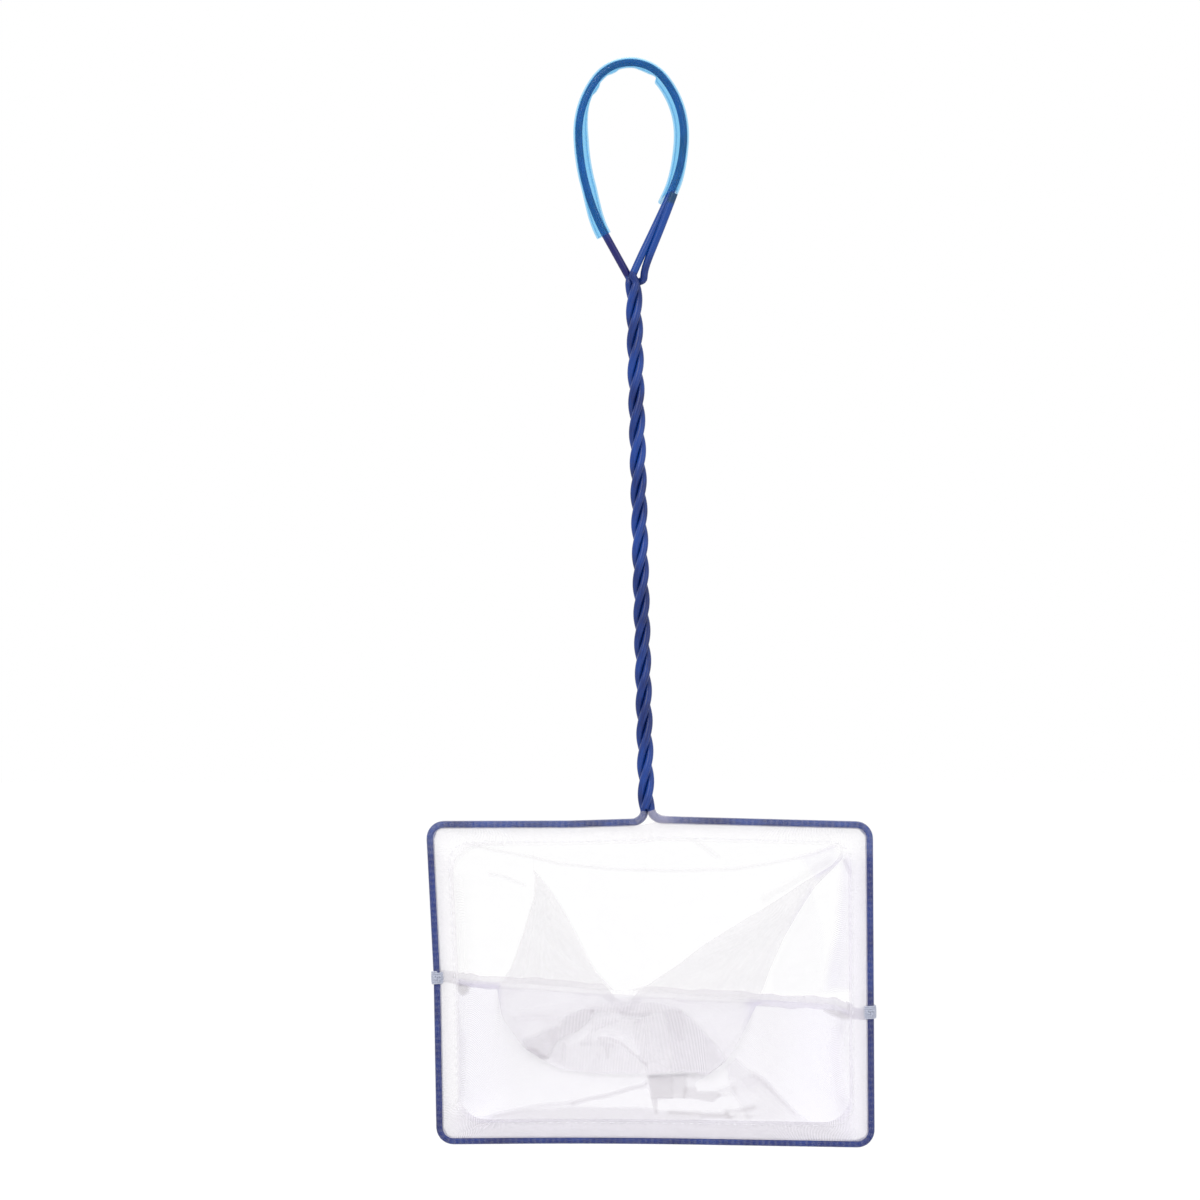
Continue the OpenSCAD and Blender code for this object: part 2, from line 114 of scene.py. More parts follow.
def softened(points: Array, rounds: int, axis: int = 0) -> Array:
    """Rounds sharp turns: each inner point becomes half itself and a quarter of each neighbour.

    Args:
        points: A run or a grid of points.
        rounds: How many times the average is taken.
        axis: The axis along which neighbours lie.

    Returns:
        The softened points, with both ends kept.
    """
    moved = np.moveaxis(points.astype(float), axis, 0)
    for _ in range(rounds):
        moved[1:-1] = 0.5 * moved[1:-1] + 0.25 * (moved[:-2] + moved[2:])
    return np.moveaxis(moved, 0, axis)


def arc(centre: tuple[float, float], radius: float, start: float, turn: float, points: int = 40) -> Array:
    """Flat points on an arc that begins at the angle start and turns by the angle turn."""
    angles = start + turn * shares(points)
    return np.array(centre) + radius * np.stack([np.cos(angles), np.sin(angles)], axis=1)


def corner_arc(before: Array, corner: Array, after: Array, radius: float, steps: int) -> Array:
    """Rounds one corner of a flat run by the arc that touches both of its sides.

    Args:
        before: The point before the corner.
        corner: The corner itself.
        after: The point after it.
        radius: The arc's radius.
        steps: How many steps the arc is divided into.

    Returns:
        The arc's points, from the first side to the second.
    """
    u, v = unit(before - corner), unit(after - corner)
    half = math.acos(float(np.clip(u @ v, -1.0, 1.0))) / 2
    centre = corner + unit(u + v) * radius / math.sin(half)
    start = corner + u * radius / math.tan(half) - centre
    end = corner + v * radius / math.tan(half) - centre
    turn = (math.pi - 2 * half) * float(np.sign(start[0] * end[1] - start[1] * end[0]))
    angles = turn * shares(steps + 1)[:, None]
    turned = np.array([-start[1], start[0]])
    return centre + start * np.cos(angles) + turned * np.sin(angles)


def rounded_run(points: list[Array], radii: list[float], steps: int = 16) -> Array:
    """An open flat run with each inner corner rounded by its own radius."""
    arcs = [corner_arc(points[i], points[i + 1], points[i + 2], r, steps) for i, r in enumerate(radii)]
    return np.concatenate([[points[0]], *arcs, [points[-1]]])


def inset(outline: Array, inwards: float) -> Array:
    """Moves each side of a clockwise outline inwards.

    Args:
        outline: The outline's corners.
        inwards: How far each side moves.

    Returns:
        The corners where the moved sides meet.
    """
    ahead, behind = np.roll(outline, -1, axis=0), np.roll(outline, 1, axis=0)
    u, v = unit(outline - behind), unit(ahead - outline)
    a = outline + inwards * np.stack([u[:, 1], -u[:, 0]], axis=1)
    b = outline + inwards * np.stack([v[:, 1], -v[:, 0]], axis=1)
    across = u[:, 0] * v[:, 1] - u[:, 1] * v[:, 0]
    gap = b - a
    share = (gap[:, 0] * v[:, 1] - gap[:, 1] * v[:, 0]) / across
    return a + u * share[:, None]


def rounded_outline(corners: Array, radii: list[float], arc_steps: int, side_steps: int) -> Array:
    """A closed outline with rounded corners, whose points pair up with those of another such outline.

    Args:
        corners: The outline's corners in order.
        radii: One radius for each corner.
        arc_steps: Steps of each corner's arc.
        side_steps: Steps of each straight side.

    Returns:
        The outline's points, which don't repeat the first at the end.
    """
    count = len(corners)
    arcs = [
        corner_arc(corners[i - 1], corners[i], corners[(i + 1) % count], radii[i], arc_steps)
        for i in range(count)
    ]
    share = shares(side_steps + 1)[1:-1, None]
    sides = [arcs[i][-1] * (1 - share) + arcs[(i + 1) % count][0] * share for i in range(count)]
    return np.concatenate([part for pair in zip(arcs, sides) for part in pair])


def frames(path: Array) -> tuple[Array, Array, Array]:
    """Directions along a path that never runs along Y.

    Args:
        path: Points of the path, in space.

    Returns:
        The unit vectors along the path, square to it on the +Y side, and square to both.
    """
    way = unit(np.gradient(path, axis=0))
    across = unit(BACK - way * way[:, 1:2])
    return way, across, np.cross(way, across)


def sweep(path: Array, profile: Array) -> Array:
    """Carries a flat profile along a path, square to it.

    Args:
        path: Points of the path, (rows, 3).
        profile: Places of the profile as [towards +Y, square to that], (columns, 2), or one profile for
            each row, (rows, columns, 2).

    Returns:
        The surface: each path point plus the profile's two lengths along the path's two side directions.
    """
    _, across, beside = frames(path)
    shape = np.broadcast_to(profile, (len(path), *profile.shape[-2:]))
    return path[:, None, :] + shape[..., :1] * across[:, None, :] + shape[..., 1:] * beside[:, None, :]


def shares(count: int) -> Array:
    """Even steps from 0 to 1."""
    return np.linspace(0.0, 1.0, count)


def turns(count: int) -> Array:
    """Even steps of a whole turn, without its end."""
    return 2 * np.pi * np.arange(count) / count


def kept_rows(count: int, step: int) -> Array:
    """Indexes of every step-th of some rows, and of the last."""
    return np.unique(np.append(np.arange(0, count, step), count - 1))


def circle(radius: float, sides: int) -> Array:
    """Points of a circle as [towards +Y, square to that]."""
    angles = turns(sides)
    return radius * np.stack([np.cos(angles), np.sin(angles)], axis=1)


def distance(points: Array, starts: Array, ends: Array) -> Array:
    """How far points lie from the nearest of some straight lines.

    Args:
        points: Flat places, (..., 2).
        starts: Where each line starts, (count, 2).
        ends: Where it ends.

    Returns:
        The least distance for each point.
    """
    way = ends - starts
    gap = points[..., None, :] - starts
    share = np.clip((gap * way).sum(-1) / (way * way).sum(-1), 0.0, 1.0)
    return np.linalg.norm(gap - share[..., None] * way, axis=-1).min(-1)


@dataclass(frozen=True)
class Neck:
    """The middle of the neck in the part's frame, the handle's lean and how its loop was pulled open."""

    x: float = 6.0955
    z: float = -249.42
    lean: float = math.radians(1.4)
    pull: Fade = Fade(192.0, 212.0)
    pull_right: float = 0.4
    widen: float = 0.015
    crown_pull: Fade = Fade(192.0, 252.0)
    crown: float = 0.6
    elbow: float = 0.42
    elbow_z: float = 200.0
    elbow_reach: float = 14.2
    elbow_side: Fade = Fade(0.0, 6.0)

    def placed(self, points: Array) -> Array:
        """Moves points from the neck, in millimetres, into the part's frame, in metres."""
        return (points + np.array([self.x, 0.0, self.z])) * MM

    def leaned(self, points: Array) -> Array:
        """Turns upright places on the handle to its lean, about Y through the neck.

        Args:
            points: Upright places, (..., 3).

        Returns:
            The places, after the loop was pulled a little to the right, wider and up by amounts that ease
            in with height, with an elbow where its right leg begins.
        """
        cos, sin = math.cos(self.lean), math.sin(self.lean)
        x, y, z = points[..., 0], points[..., 1], points[..., 2]
        x = x + self.pull.at(z) * (self.pull_right + self.widen * x)
        x = x + self.elbow * np.exp(-(((z - self.elbow_z) / self.elbow_reach) ** 2)) * self.elbow_side.at(x)
        z = z + self.crown * self.crown_pull.at(z)
        return np.stack([x * cos - z * sin, y, x * sin + z * cos], axis=-1)


# Meshes


@dataclass
class Skin:
    """A grid of points, in millimetres from the neck, that makes up a surface.

    A grid has rows along the piece and columns across it. A stack of grids has one more axis in front.
    """

    points: Array
    uv: Array | None = None
    round_rows: bool = False
    round_columns: bool = False
    capped: bool = False
    marks: dict[str, Array] = field(default_factory=dict)

    def stack(self) -> Array:
        """The points as a stack of grids, also where there is one."""
        return self.points if self.points.ndim == 4 else self.points[None]

    def cells(self) -> tuple[Array, Array]:
        """Indexes of each cell's four corners, into the points and into the map's places.

        Returns:
            Two arrays of (cells, 4): each cell is a corner, the next across, the one diagonal to it and
            the next along.
        """
        count, rows, columns = self.stack().shape[:3]
        i, j = np.meshgrid(
            np.arange(rows - 1 + self.round_rows), np.arange(columns - 1 + self.round_columns), indexing="ij"
        )
        i, j = i.ravel(), j.ravel()
        around, along = (i + 1) % rows, (j + 1) % columns
        corners = np.stack([i * columns + j, i * columns + along, around * columns + along, around * columns + j], 1)
        wide = columns + self.round_columns
        places = np.stack([i * wide + j, i * wide + j + 1, (i + 1) * wide + j + 1, (i + 1) * wide + j], 1)
        each = np.arange(count)[:, None, None]
        size = (rows + self.round_rows) * wide
        return (corners + each * rows * columns).reshape(-1, 4), (places + each * size).reshape(-1, 4)

    def caps(self) -> Array:
        """Polygons that close the ends of a round grid.

        Returns:
            Indexes of the points round each end, one end a row, or no rows for an open grid.
        """
        count, rows, columns = self.stack().shape[:3]
        if not self.capped:
            return np.zeros((0, columns), int)
        ring = np.arange(columns)
        ends = np.stack([ring[::-1], (rows - 1) * columns + ring])
        return (ends + (np.arange(count) * rows * columns)[:, None, None]).reshape(-1, columns)

    def mapped(self) -> Array:
        """The UV map's places, in millimetres.

        Returns:
            The skin's own map, or the lengths travelled across and along its grid, averaged over it.
        """
        if self.uv is not None:
            return self.uv.reshape(-1, 2)
        grid = self.stack()
        if self.round_columns:
            grid = np.concatenate([grid, grid[:, :, :1]], axis=2)
        if self.round_rows:
            grid = np.concatenate([grid, grid[:, :1]], axis=1)
        u = np.cumsum(np.linalg.norm(np.diff(grid, axis=2, prepend=grid[:, :, :1]), axis=3).mean(1), axis=1)
        v = np.cumsum(np.linalg.norm(np.diff(grid, axis=1, prepend=grid[:, :1]), axis=3).mean(2), axis=1)
        u, v = np.broadcast_arrays(u[:, None, :], v[:, :, None])
        return np.stack([u, v], axis=-1).reshape(-1, 2)


def make_piece(name: str, skins: list[Skin], neck: Neck, sharp: float = 45.0) -> Object:
    """Makes one object from skins, with its UV map in millimetres and its marks as attributes.

    Args:
        name: The object's name.
        skins: The grids that make up its surface.
        neck: Where the grids' places are measured from.
        sharp: Edges that turn by more than this, in degrees, stay crisp.

    Returns:
        The object, at the origin, unturned and unscaled.
    """
    points, loops, places, totals, maps, marks = [], [], [], [], [], {}
    first = first_place = 0
    names = sorted({mark for skin in skins for mark in skin.marks})
    for skin in skins:
        grid = skin.stack().reshape(-1, 3)
        cells, spots = skin.cells()
        caps = skin.caps()
        mapped = skin.mapped()
        points.append(grid)
        maps.append(mapped)
        loops += [(cells + first).ravel(), (caps + first).ravel()]
        places += [(spots + first_place).ravel(), np.zeros(caps.size, int) + first_place]
        totals += [np.full(len(cells), 4), np.full(len(caps), caps.shape[1])]
        for mark in names:
            value = skin.marks.get(mark, np.zeros(len(grid)))
            shape = skin.stack().shape[:3] if mark in skin.marks else value.shape
            marks.setdefault(mark, []).append(np.broadcast_to(value, shape).ravel())
        first += len(grid)
        first_place += len(mapped)
    placed = neck.placed(np.concatenate(points))
    corner = np.concatenate(loops)
    total = np.concatenate(totals)
    mesh = bpy.data.meshes.new(name)
    mesh.vertices.add(len(placed))
    mesh.vertices.foreach_set("co", placed.astype(np.float32).ravel())
    mesh.loops.add(len(corner))
    mesh.loops.foreach_set("vertex_index", corner.astype(np.int32))
    mesh.polygons.add(len(total))
    mesh.polygons.foreach_set("loop_start", (np.cumsum(total) - total).astype(np.int32))
    mesh.update(calc_edges=True)
    layer = mesh.uv_layers.new(name="UVMap")
    layer.data.foreach_set("uv", np.concatenate(maps)[np.concatenate(places)].astype(np.float32).ravel())
    for mark, values in marks.items():
        attribute = mesh.attributes.new(mark, "FLOAT", "POINT")
        attribute.data.foreach_set("value", np.concatenate(values).astype(np.float32))
    mesh.validate()
    mesh.shade_smooth()
    mesh.set_sharp_from_angle(angle=math.radians(sharp))
    piece = bpy.data.objects.new(name, mesh)
    bpy.context.scene.collection.objects.link(piece)
    return piece


def dress(piece: Object, material: Material, node: str) -> Object:
    """Gives a piece its material and its body, and hides the CAD node that it stands for.

    Args:
        piece: The piece.
        material: The material that it is drawn with.
        node: The CAD node.

    Returns:
        The same piece.
    """
    piece.data.materials.clear()
    piece.data.materials.append(material)
    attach(piece, "root")
    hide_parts(node)
    log.info("%s: %d faces", piece.name, len(piece.data.polygons))
    return piece


# Shader maths


class Nodes:
    """The node tree of one material, or of the world."""

    def __init__(self, owner: Material | bpy.types.World) -> None:
        """Empties the node tree of its owner.

        Args:
            owner: The material or the world.
        """
        owner.use_nodes = True
        self.owner = owner
        self.tree = owner.node_tree
        self.tree.nodes.clear()

    def add(self, kind: str, settings: dict[str, object] | None = None,
            inputs: dict[str | int, object] | None = None) -> bpy.types.Node:
        """Adds a node.

        Args:
            kind: The node's type.
            settings: Its properties, set first. "stops" gives a colour ramp's positions and colours.
            inputs: Values or links of its sockets, by name or place.

        Returns:
            The node.
        """
        node = self.tree.nodes.new(kind)
        for key, value in (settings or {}).items():
            if key == "stops":
                for place, colour in value[len(node.color_ramp.elements):]:
                    node.color_ramp.elements.new(place)
                for element, (place, colour) in zip(node.color_ramp.elements, value):
                    element.position, element.color = place, (*colour, 1.0)
            else:
                setattr(node, key, value)
        for key, value in (inputs or {}).items():
            source = value.socket if isinstance(value, Sum) else value
            if isinstance(source, Socket):
                self.tree.links.new(source, node.inputs[key])
            elif isinstance(source, tuple) and len(source) == 3 and node.inputs[key].type == "RGBA":
                node.inputs[key].default_value = (*source, 1.0)
            else:
                node.inputs[key].default_value = source
        return node

    def value(self, node: bpy.types.Node, output: str | int = 0) -> "Sum":
        """An output of a node, ready for maths."""
        return Sum(self, node.outputs[output])

    def mark(self, name: str) -> "Sum":
        """A number that the mesh carries at each point."""
        return self.value(self.add("ShaderNodeAttribute", {"attribute_name": name}), "Fac")

    def noise(self, vector: object, scale: float, detail: float = 2.0, roughness: float = 0.5) -> "Sum":
        """Soft noise from 0 to 1 over a vector."""
        return self.value(self.add("ShaderNodeTexNoise", {}, {
            "Vector": vector, "Scale": scale, "Detail": detail, "Roughness": roughness}), "Fac")

    def blend(self, share: object, low: object, high: object) -> Socket:
        """A colour between two others, by a share from 0 to 1."""
        node = self.add("ShaderNodeMix", {"data_type": "RGBA"}, {0: share, 6: low, 7: high})
        return node.outputs[2]

    def ease(self, value: "Sum", low: float, high: float) -> "Sum":
        """A share that rises smoothly from 0 to 1 as a value goes from low to high."""
        return self.value(self.add("ShaderNodeMapRange", {"interpolation_type": "SMOOTHSTEP"}, {
            "Value": value, "From Min": low, "From Max": high}))

    def bump(self, height: "Sum", strength: float, depth: float) -> Socket:
        """A normal that follows a height, whose whole range is a depth in metres."""
        return self.add("ShaderNodeBump", {}, {
            "Height": height, "Strength": strength, "Distance": depth}).outputs[0]

    def principled(self, inputs: dict[str, object]) -> Socket:
        """A Principled shader with those inputs."""
        return self.add("ShaderNodeBsdfPrincipled", {}, inputs).outputs[0]

    def surface(self, shader: Socket, output: str = "ShaderNodeOutputMaterial") -> bpy.types.ID:
        """Joins a shader to the output, and gives back the finished material or world."""
        self.add(output, {}, {"Surface": shader})
        return self.owner


class Sum:
    """A shader socket that takes part in Python sums: each operator adds one Math node."""

    def __init__(self, nodes: Nodes, socket: Socket) -> None:
        """Wraps a socket of a node tree."""
        self.nodes = nodes
        self.socket = socket

    def maths(self, operation: str, *values: object) -> "Sum":
        """Adds a Math node on values or sums."""
        node = self.nodes.add("ShaderNodeMath", {"operation": operation}, dict(enumerate(values)))
        return self.nodes.value(node)

    def __add__(self, other: object) -> "Sum":
        """This plus other."""
        return self.maths("ADD", self, other)

    def __sub__(self, other: object) -> "Sum":
        """This less other."""
        return self.maths("SUBTRACT", self, other)

    def __rsub__(self, other: object) -> "Sum":
        """Other less this."""
        return self.maths("SUBTRACT", other, self)

    def __mul__(self, other: object) -> "Sum":
        """This times other."""
        return self.maths("MULTIPLY", self, other)

    __radd__ = __add__
    __rmul__ = __mul__

    def __abs__(self) -> "Sum":
        """This without its sign."""
        return self.maths("ABSOLUTE", self)

    def sine(self) -> "Sum":
        """The sine of this, in radians."""
        return self.maths("SINE", self)

    def most(self, other: object) -> "Sum":
        """The larger of this and other."""
        return self.maths("MAXIMUM", self, other)

    def least(self, other: object) -> "Sum":
        """The smaller of this and other."""
        return self.maths("MINIMUM", self, other)


# Finishes


@dataclass(frozen=True)
class WireCoat:
    """Blue plastic drawn over steel wire, glossy and a little uneven.

    The mark "dusk" paints shade, a dark purple blue on the hoop below its top rails, on the loop's left
    leg and on the return strand's top. "fresh" paints light, a lighter blue on the wires that run up
    beside each other below the sleeve, and "cut" paints shade in dull blue-green on the tail's end.
    """

    deep: Colour = (0.003, 0.014, 0.11)
    royal: Colour = (0.006, 0.048, 0.275)
    # Painted shade colour for the hoop, the loop's left leg and the return strand's top.
    shade_navy: Colour = (0.006, 0.006, 0.105)
    # Painted light colour for the wires that run up below the sleeve.
    lit_blue: Colour = (0.003, 0.048, 0.26)
    scuff: Colour = (0.05, 0.12, 0.38)
    # Painted shade colour for the tail's end, where it meets the sleeve's mouth.
    shade_teal: Colour = (0.006, 0.045, 0.10)
    roughness: float = 0.34

    def material(self) -> Material:
        """Makes the material.

        Returns:
            Blue that drifts between deep and royal, with fine scuffs drawn along the wire and a skin of
            small dimples.
        """
        nodes = Nodes(bpy.data.materials.new("wire_coat"))
        place = nodes.add("ShaderNodeTexCoord")
        spread = nodes.add("ShaderNodeMapping", {}, {"Vector": place.outputs["UV"], "Scale": (1.2, 0.09, 1.0)})
        drift = nodes.noise(place.outputs["Object"], scale=55.0, detail=3.0)
        streaks = nodes.noise(spread.outputs[0], scale=2.2, detail=3.0, roughness=0.6)
        dimples = nodes.noise(place.outputs["Object"], scale=900.0)
        blue = nodes.blend(nodes.ease(drift * 0.6 + streaks * 0.4, 0.36, 0.64), self.deep, self.royal)
        scuffs = nodes.ease(streaks, 0.62, 0.78)
        blue = nodes.blend(scuffs * 0.4, blue, self.scuff)
        # The marks paint light as a lighter blue, then paint shade as dark purple blue, and as dull blue-green at the
        # tail's end.
        blue = nodes.blend(nodes.mark("fresh"), blue, self.lit_blue)
        blue = nodes.blend(nodes.mark("dusk"), blue, self.shade_navy)
        blue = nodes.blend(nodes.mark("cut"), blue, self.shade_teal)
        bump = nodes.bump(dimples * 0.5 + streaks, 0.25, 0.00012)
        shader = nodes.principled({
            "Base Color": blue, "Roughness": scuffs * 0.16 + streaks * 0.1 + (self.roughness - 0.05),
            "IOR": 1.46, "Specular IOR Level": 0.36, "Coat Weight": 0.12, "Coat Roughness": 0.2,
            "Normal": bump})
        return nodes.surface(shader)


@dataclass(frozen=True)
class DrawnSteel:
    """Bright drawn steel, cut with pliers at its ends."""

    colour: Colour = (0.56, 0.57, 0.60)
    dull: Colour = (0.33, 0.34, 0.37)

    def material(self) -> Material:
        """Makes the material.

        Returns:
            Metal with a fine grain and duller patches.
        """
        nodes = Nodes(bpy.data.materials.new("drawn_steel"))
        place = nodes.add("ShaderNodeTexCoord")
        grain = nodes.noise(place.outputs["Object"], scale=2600.0, detail=3.0)
        patches = nodes.noise(place.outputs["Object"], scale=300.0)
        colour = nodes.blend(nodes.ease(patches, 0.35, 0.7), self.colour, self.dull)
        bump = nodes.bump(grain, 0.3, 0.00005)
        shader = nodes.principled({
            "Base Color": colour, "Metallic": 1.0, "Roughness": grain * 0.25 + 0.22, "Normal": bump})
        return nodes.surface(shader)


@dataclass(frozen=True)
class ClearSleeve:
    """Soft clear tube with a light blue tint: what passes through a wall is tinted, and the rest is gloss."""

    tint: Colour = (0.74, 0.905, 0.985)
    cloud: Colour = (0.08, 0.48, 0.86)
    haze: float = 0.045

    def material(self) -> Material:
        """Makes the material.

        Returns:
            A tinted see-through shader mixed with a glossy one, hazier where the mark "pinch" says that the
            tube is creased.
        """
        nodes = Nodes(bpy.data.materials.new("clear_sleeve"))
        place = nodes.add("ShaderNodeTexCoord")
        waves = nodes.noise(place.outputs["Object"], scale=260.0, detail=3.0)
        pinch = nodes.mark("pinch")
        bump = nodes.bump(waves + pinch, 0.3, 0.0003)
        through = nodes.add("ShaderNodeBsdfTransparent", {}, {"Color": self.tint})
        gloss = nodes.principled({
            "Base Color": self.cloud, "Roughness": waves * 0.1 + 0.1, "IOR": 1.5,
            "Coat Weight": 0.6, "Coat Roughness": 0.06, "Normal": bump})
        shine = nodes.value(nodes.add("ShaderNodeFresnel", {}, {"IOR": 1.35, "Normal": bump}))
        share = (shine * 0.35 + waves * 0.03 + pinch * 0.12 + self.haze).least(0.9)
        mixed = nodes.add("ShaderNodeMixShader", {}, {0: share, 1: through.outputs[0], 2: gloss})
        return nodes.surface(mixed.outputs[0])


@dataclass(frozen=True)
class KnitMesh:
    """Fine white knitted mesh: threads cross at a slant round small open holes.

    The mark "gather" thickens the thread where the cloth is bunched, "shade" greys a deep fold and "cool"
    turns the white to lavender.
    """

    name: str = "bag_mesh"
    colour: Colour = (0.945, 0.928, 0.95)
    grey: Colour = (0.53, 0.50, 0.54)
    lavender: Colour = (0.84, 0.80, 0.95)
    pitch: float = 0.5
    hole: float = 0.14
    thread: float = 0.34

    def material(self) -> Material:
        """Makes the material.

        Returns:
            Cloth whose Alpha follows the slanted threads: along each of two slanted directions a thread
            lies where the sine of the place over the pitch is near zero.
        """
        nodes = Nodes(bpy.data.materials.new(self.name))
        place = nodes.add("ShaderNodeTexCoord")
        parts = nodes.add("ShaderNodeSeparateXYZ", {}, {0: place.outputs["UV"]})
        wander = nodes.noise(place.outputs["UV"], scale=0.35) * 0.5
        u = nodes.value(parts, "X") * (math.pi / self.pitch) + wander
        v = nodes.value(parts, "Y") * (math.pi / self.pitch) + wander
        rise = 1 - abs((u + v).sine())
        fall = 1 - abs((u - v).sine())
        threads = nodes.ease(rise.most(fall), 0.45, 0.85)
        gather = nodes.mark("gather")
        slub = nodes.noise(place.outputs["UV"], scale=0.16, detail=3.0)
        alpha = (threads * (self.thread - self.hole) + self.hole) * (slub * 0.4 + 0.8) * (1 + gather)
        colour = nodes.blend(nodes.mark("cool"), self.colour, self.lavender)
        colour = nodes.blend((nodes.mark("shade") + slub * 0.05).least(1.0), colour, self.grey)
        bump = nodes.bump(threads, 0.35, 0.00015)
        shader = nodes.principled({
            "Base Color": colour, "Roughness": threads * 0.15 + 0.62, "Specular IOR Level": 0.25,
            "Sheen Weight": 0.15, "Alpha": alpha.least(0.96), "Normal": bump})
        return nodes.surface(shader)


@dataclass(frozen=True)
class SewingThread:
    """Polyester thread, two plies that wind round each other, grey with use on the lashings."""

    name: str = "lashing_thread"
    colour: Colour = (0.48, 0.51, 0.62)
    # Painted shade in the valleys between the plies.
    ply_shade: Colour = (0.25, 0.27, 0.36)
    lay: float = 1.1

    def material(self) -> Material:
        """Makes the material.

        Returns:
            Thread whose plies show as slanted bands, with painted shade in the valleys between them.
        """
        nodes = Nodes(bpy.data.materials.new(self.name))
        place = nodes.add("ShaderNodeTexCoord")
        parts = nodes.add("ShaderNodeSeparateXYZ", {}, {0: place.outputs["UV"]})
        turn = (nodes.value(parts, "Y") * 2.0 + nodes.value(parts, "X")) * (math.pi / self.lay)
        plies = abs(turn.sine())
        fuzz = nodes.noise(place.outputs["Object"], scale=2400.0)
        # Painted shade darkens the valleys between the plies.
        colour = nodes.blend(nodes.ease(plies + fuzz * 0.3, 0.15, 0.75), self.ply_shade, self.colour)
        bump = nodes.bump(plies + fuzz * 0.3, 0.5, 0.00012)
        shader = nodes.principled({
            "Base Color": colour, "Roughness": fuzz * 0.2 + 0.5, "Sheen Weight": 0.3, "Normal": bump})
        return nodes.surface(shader)


# The wire


@dataclass(frozen=True)
class Flank:
    """What differs between the wire's left and right side, as seen from the front.

    The sign is -1 on the left and 1 on the right, and seam_drop is the way from the hoop's top corner down
    to the lashing. The neck's sizes say where the rail's line meets the neck and where its bend up starts,
    and phase is its strand's angle there. The leg's sizes are the radius and the angle of the loop's lower
    arc, and how far the leg's foot lies from the handle's middle and behind it, which fades up the leg.
    """

    sign: float
    seam_drop: float
    neck_rise: float
    neck_vertex: float
    neck_reach: float
    phase: float
    leg_r: float
    leg_angle: float
    leg_out: float
    leg_back: float
    back_fade: Fade


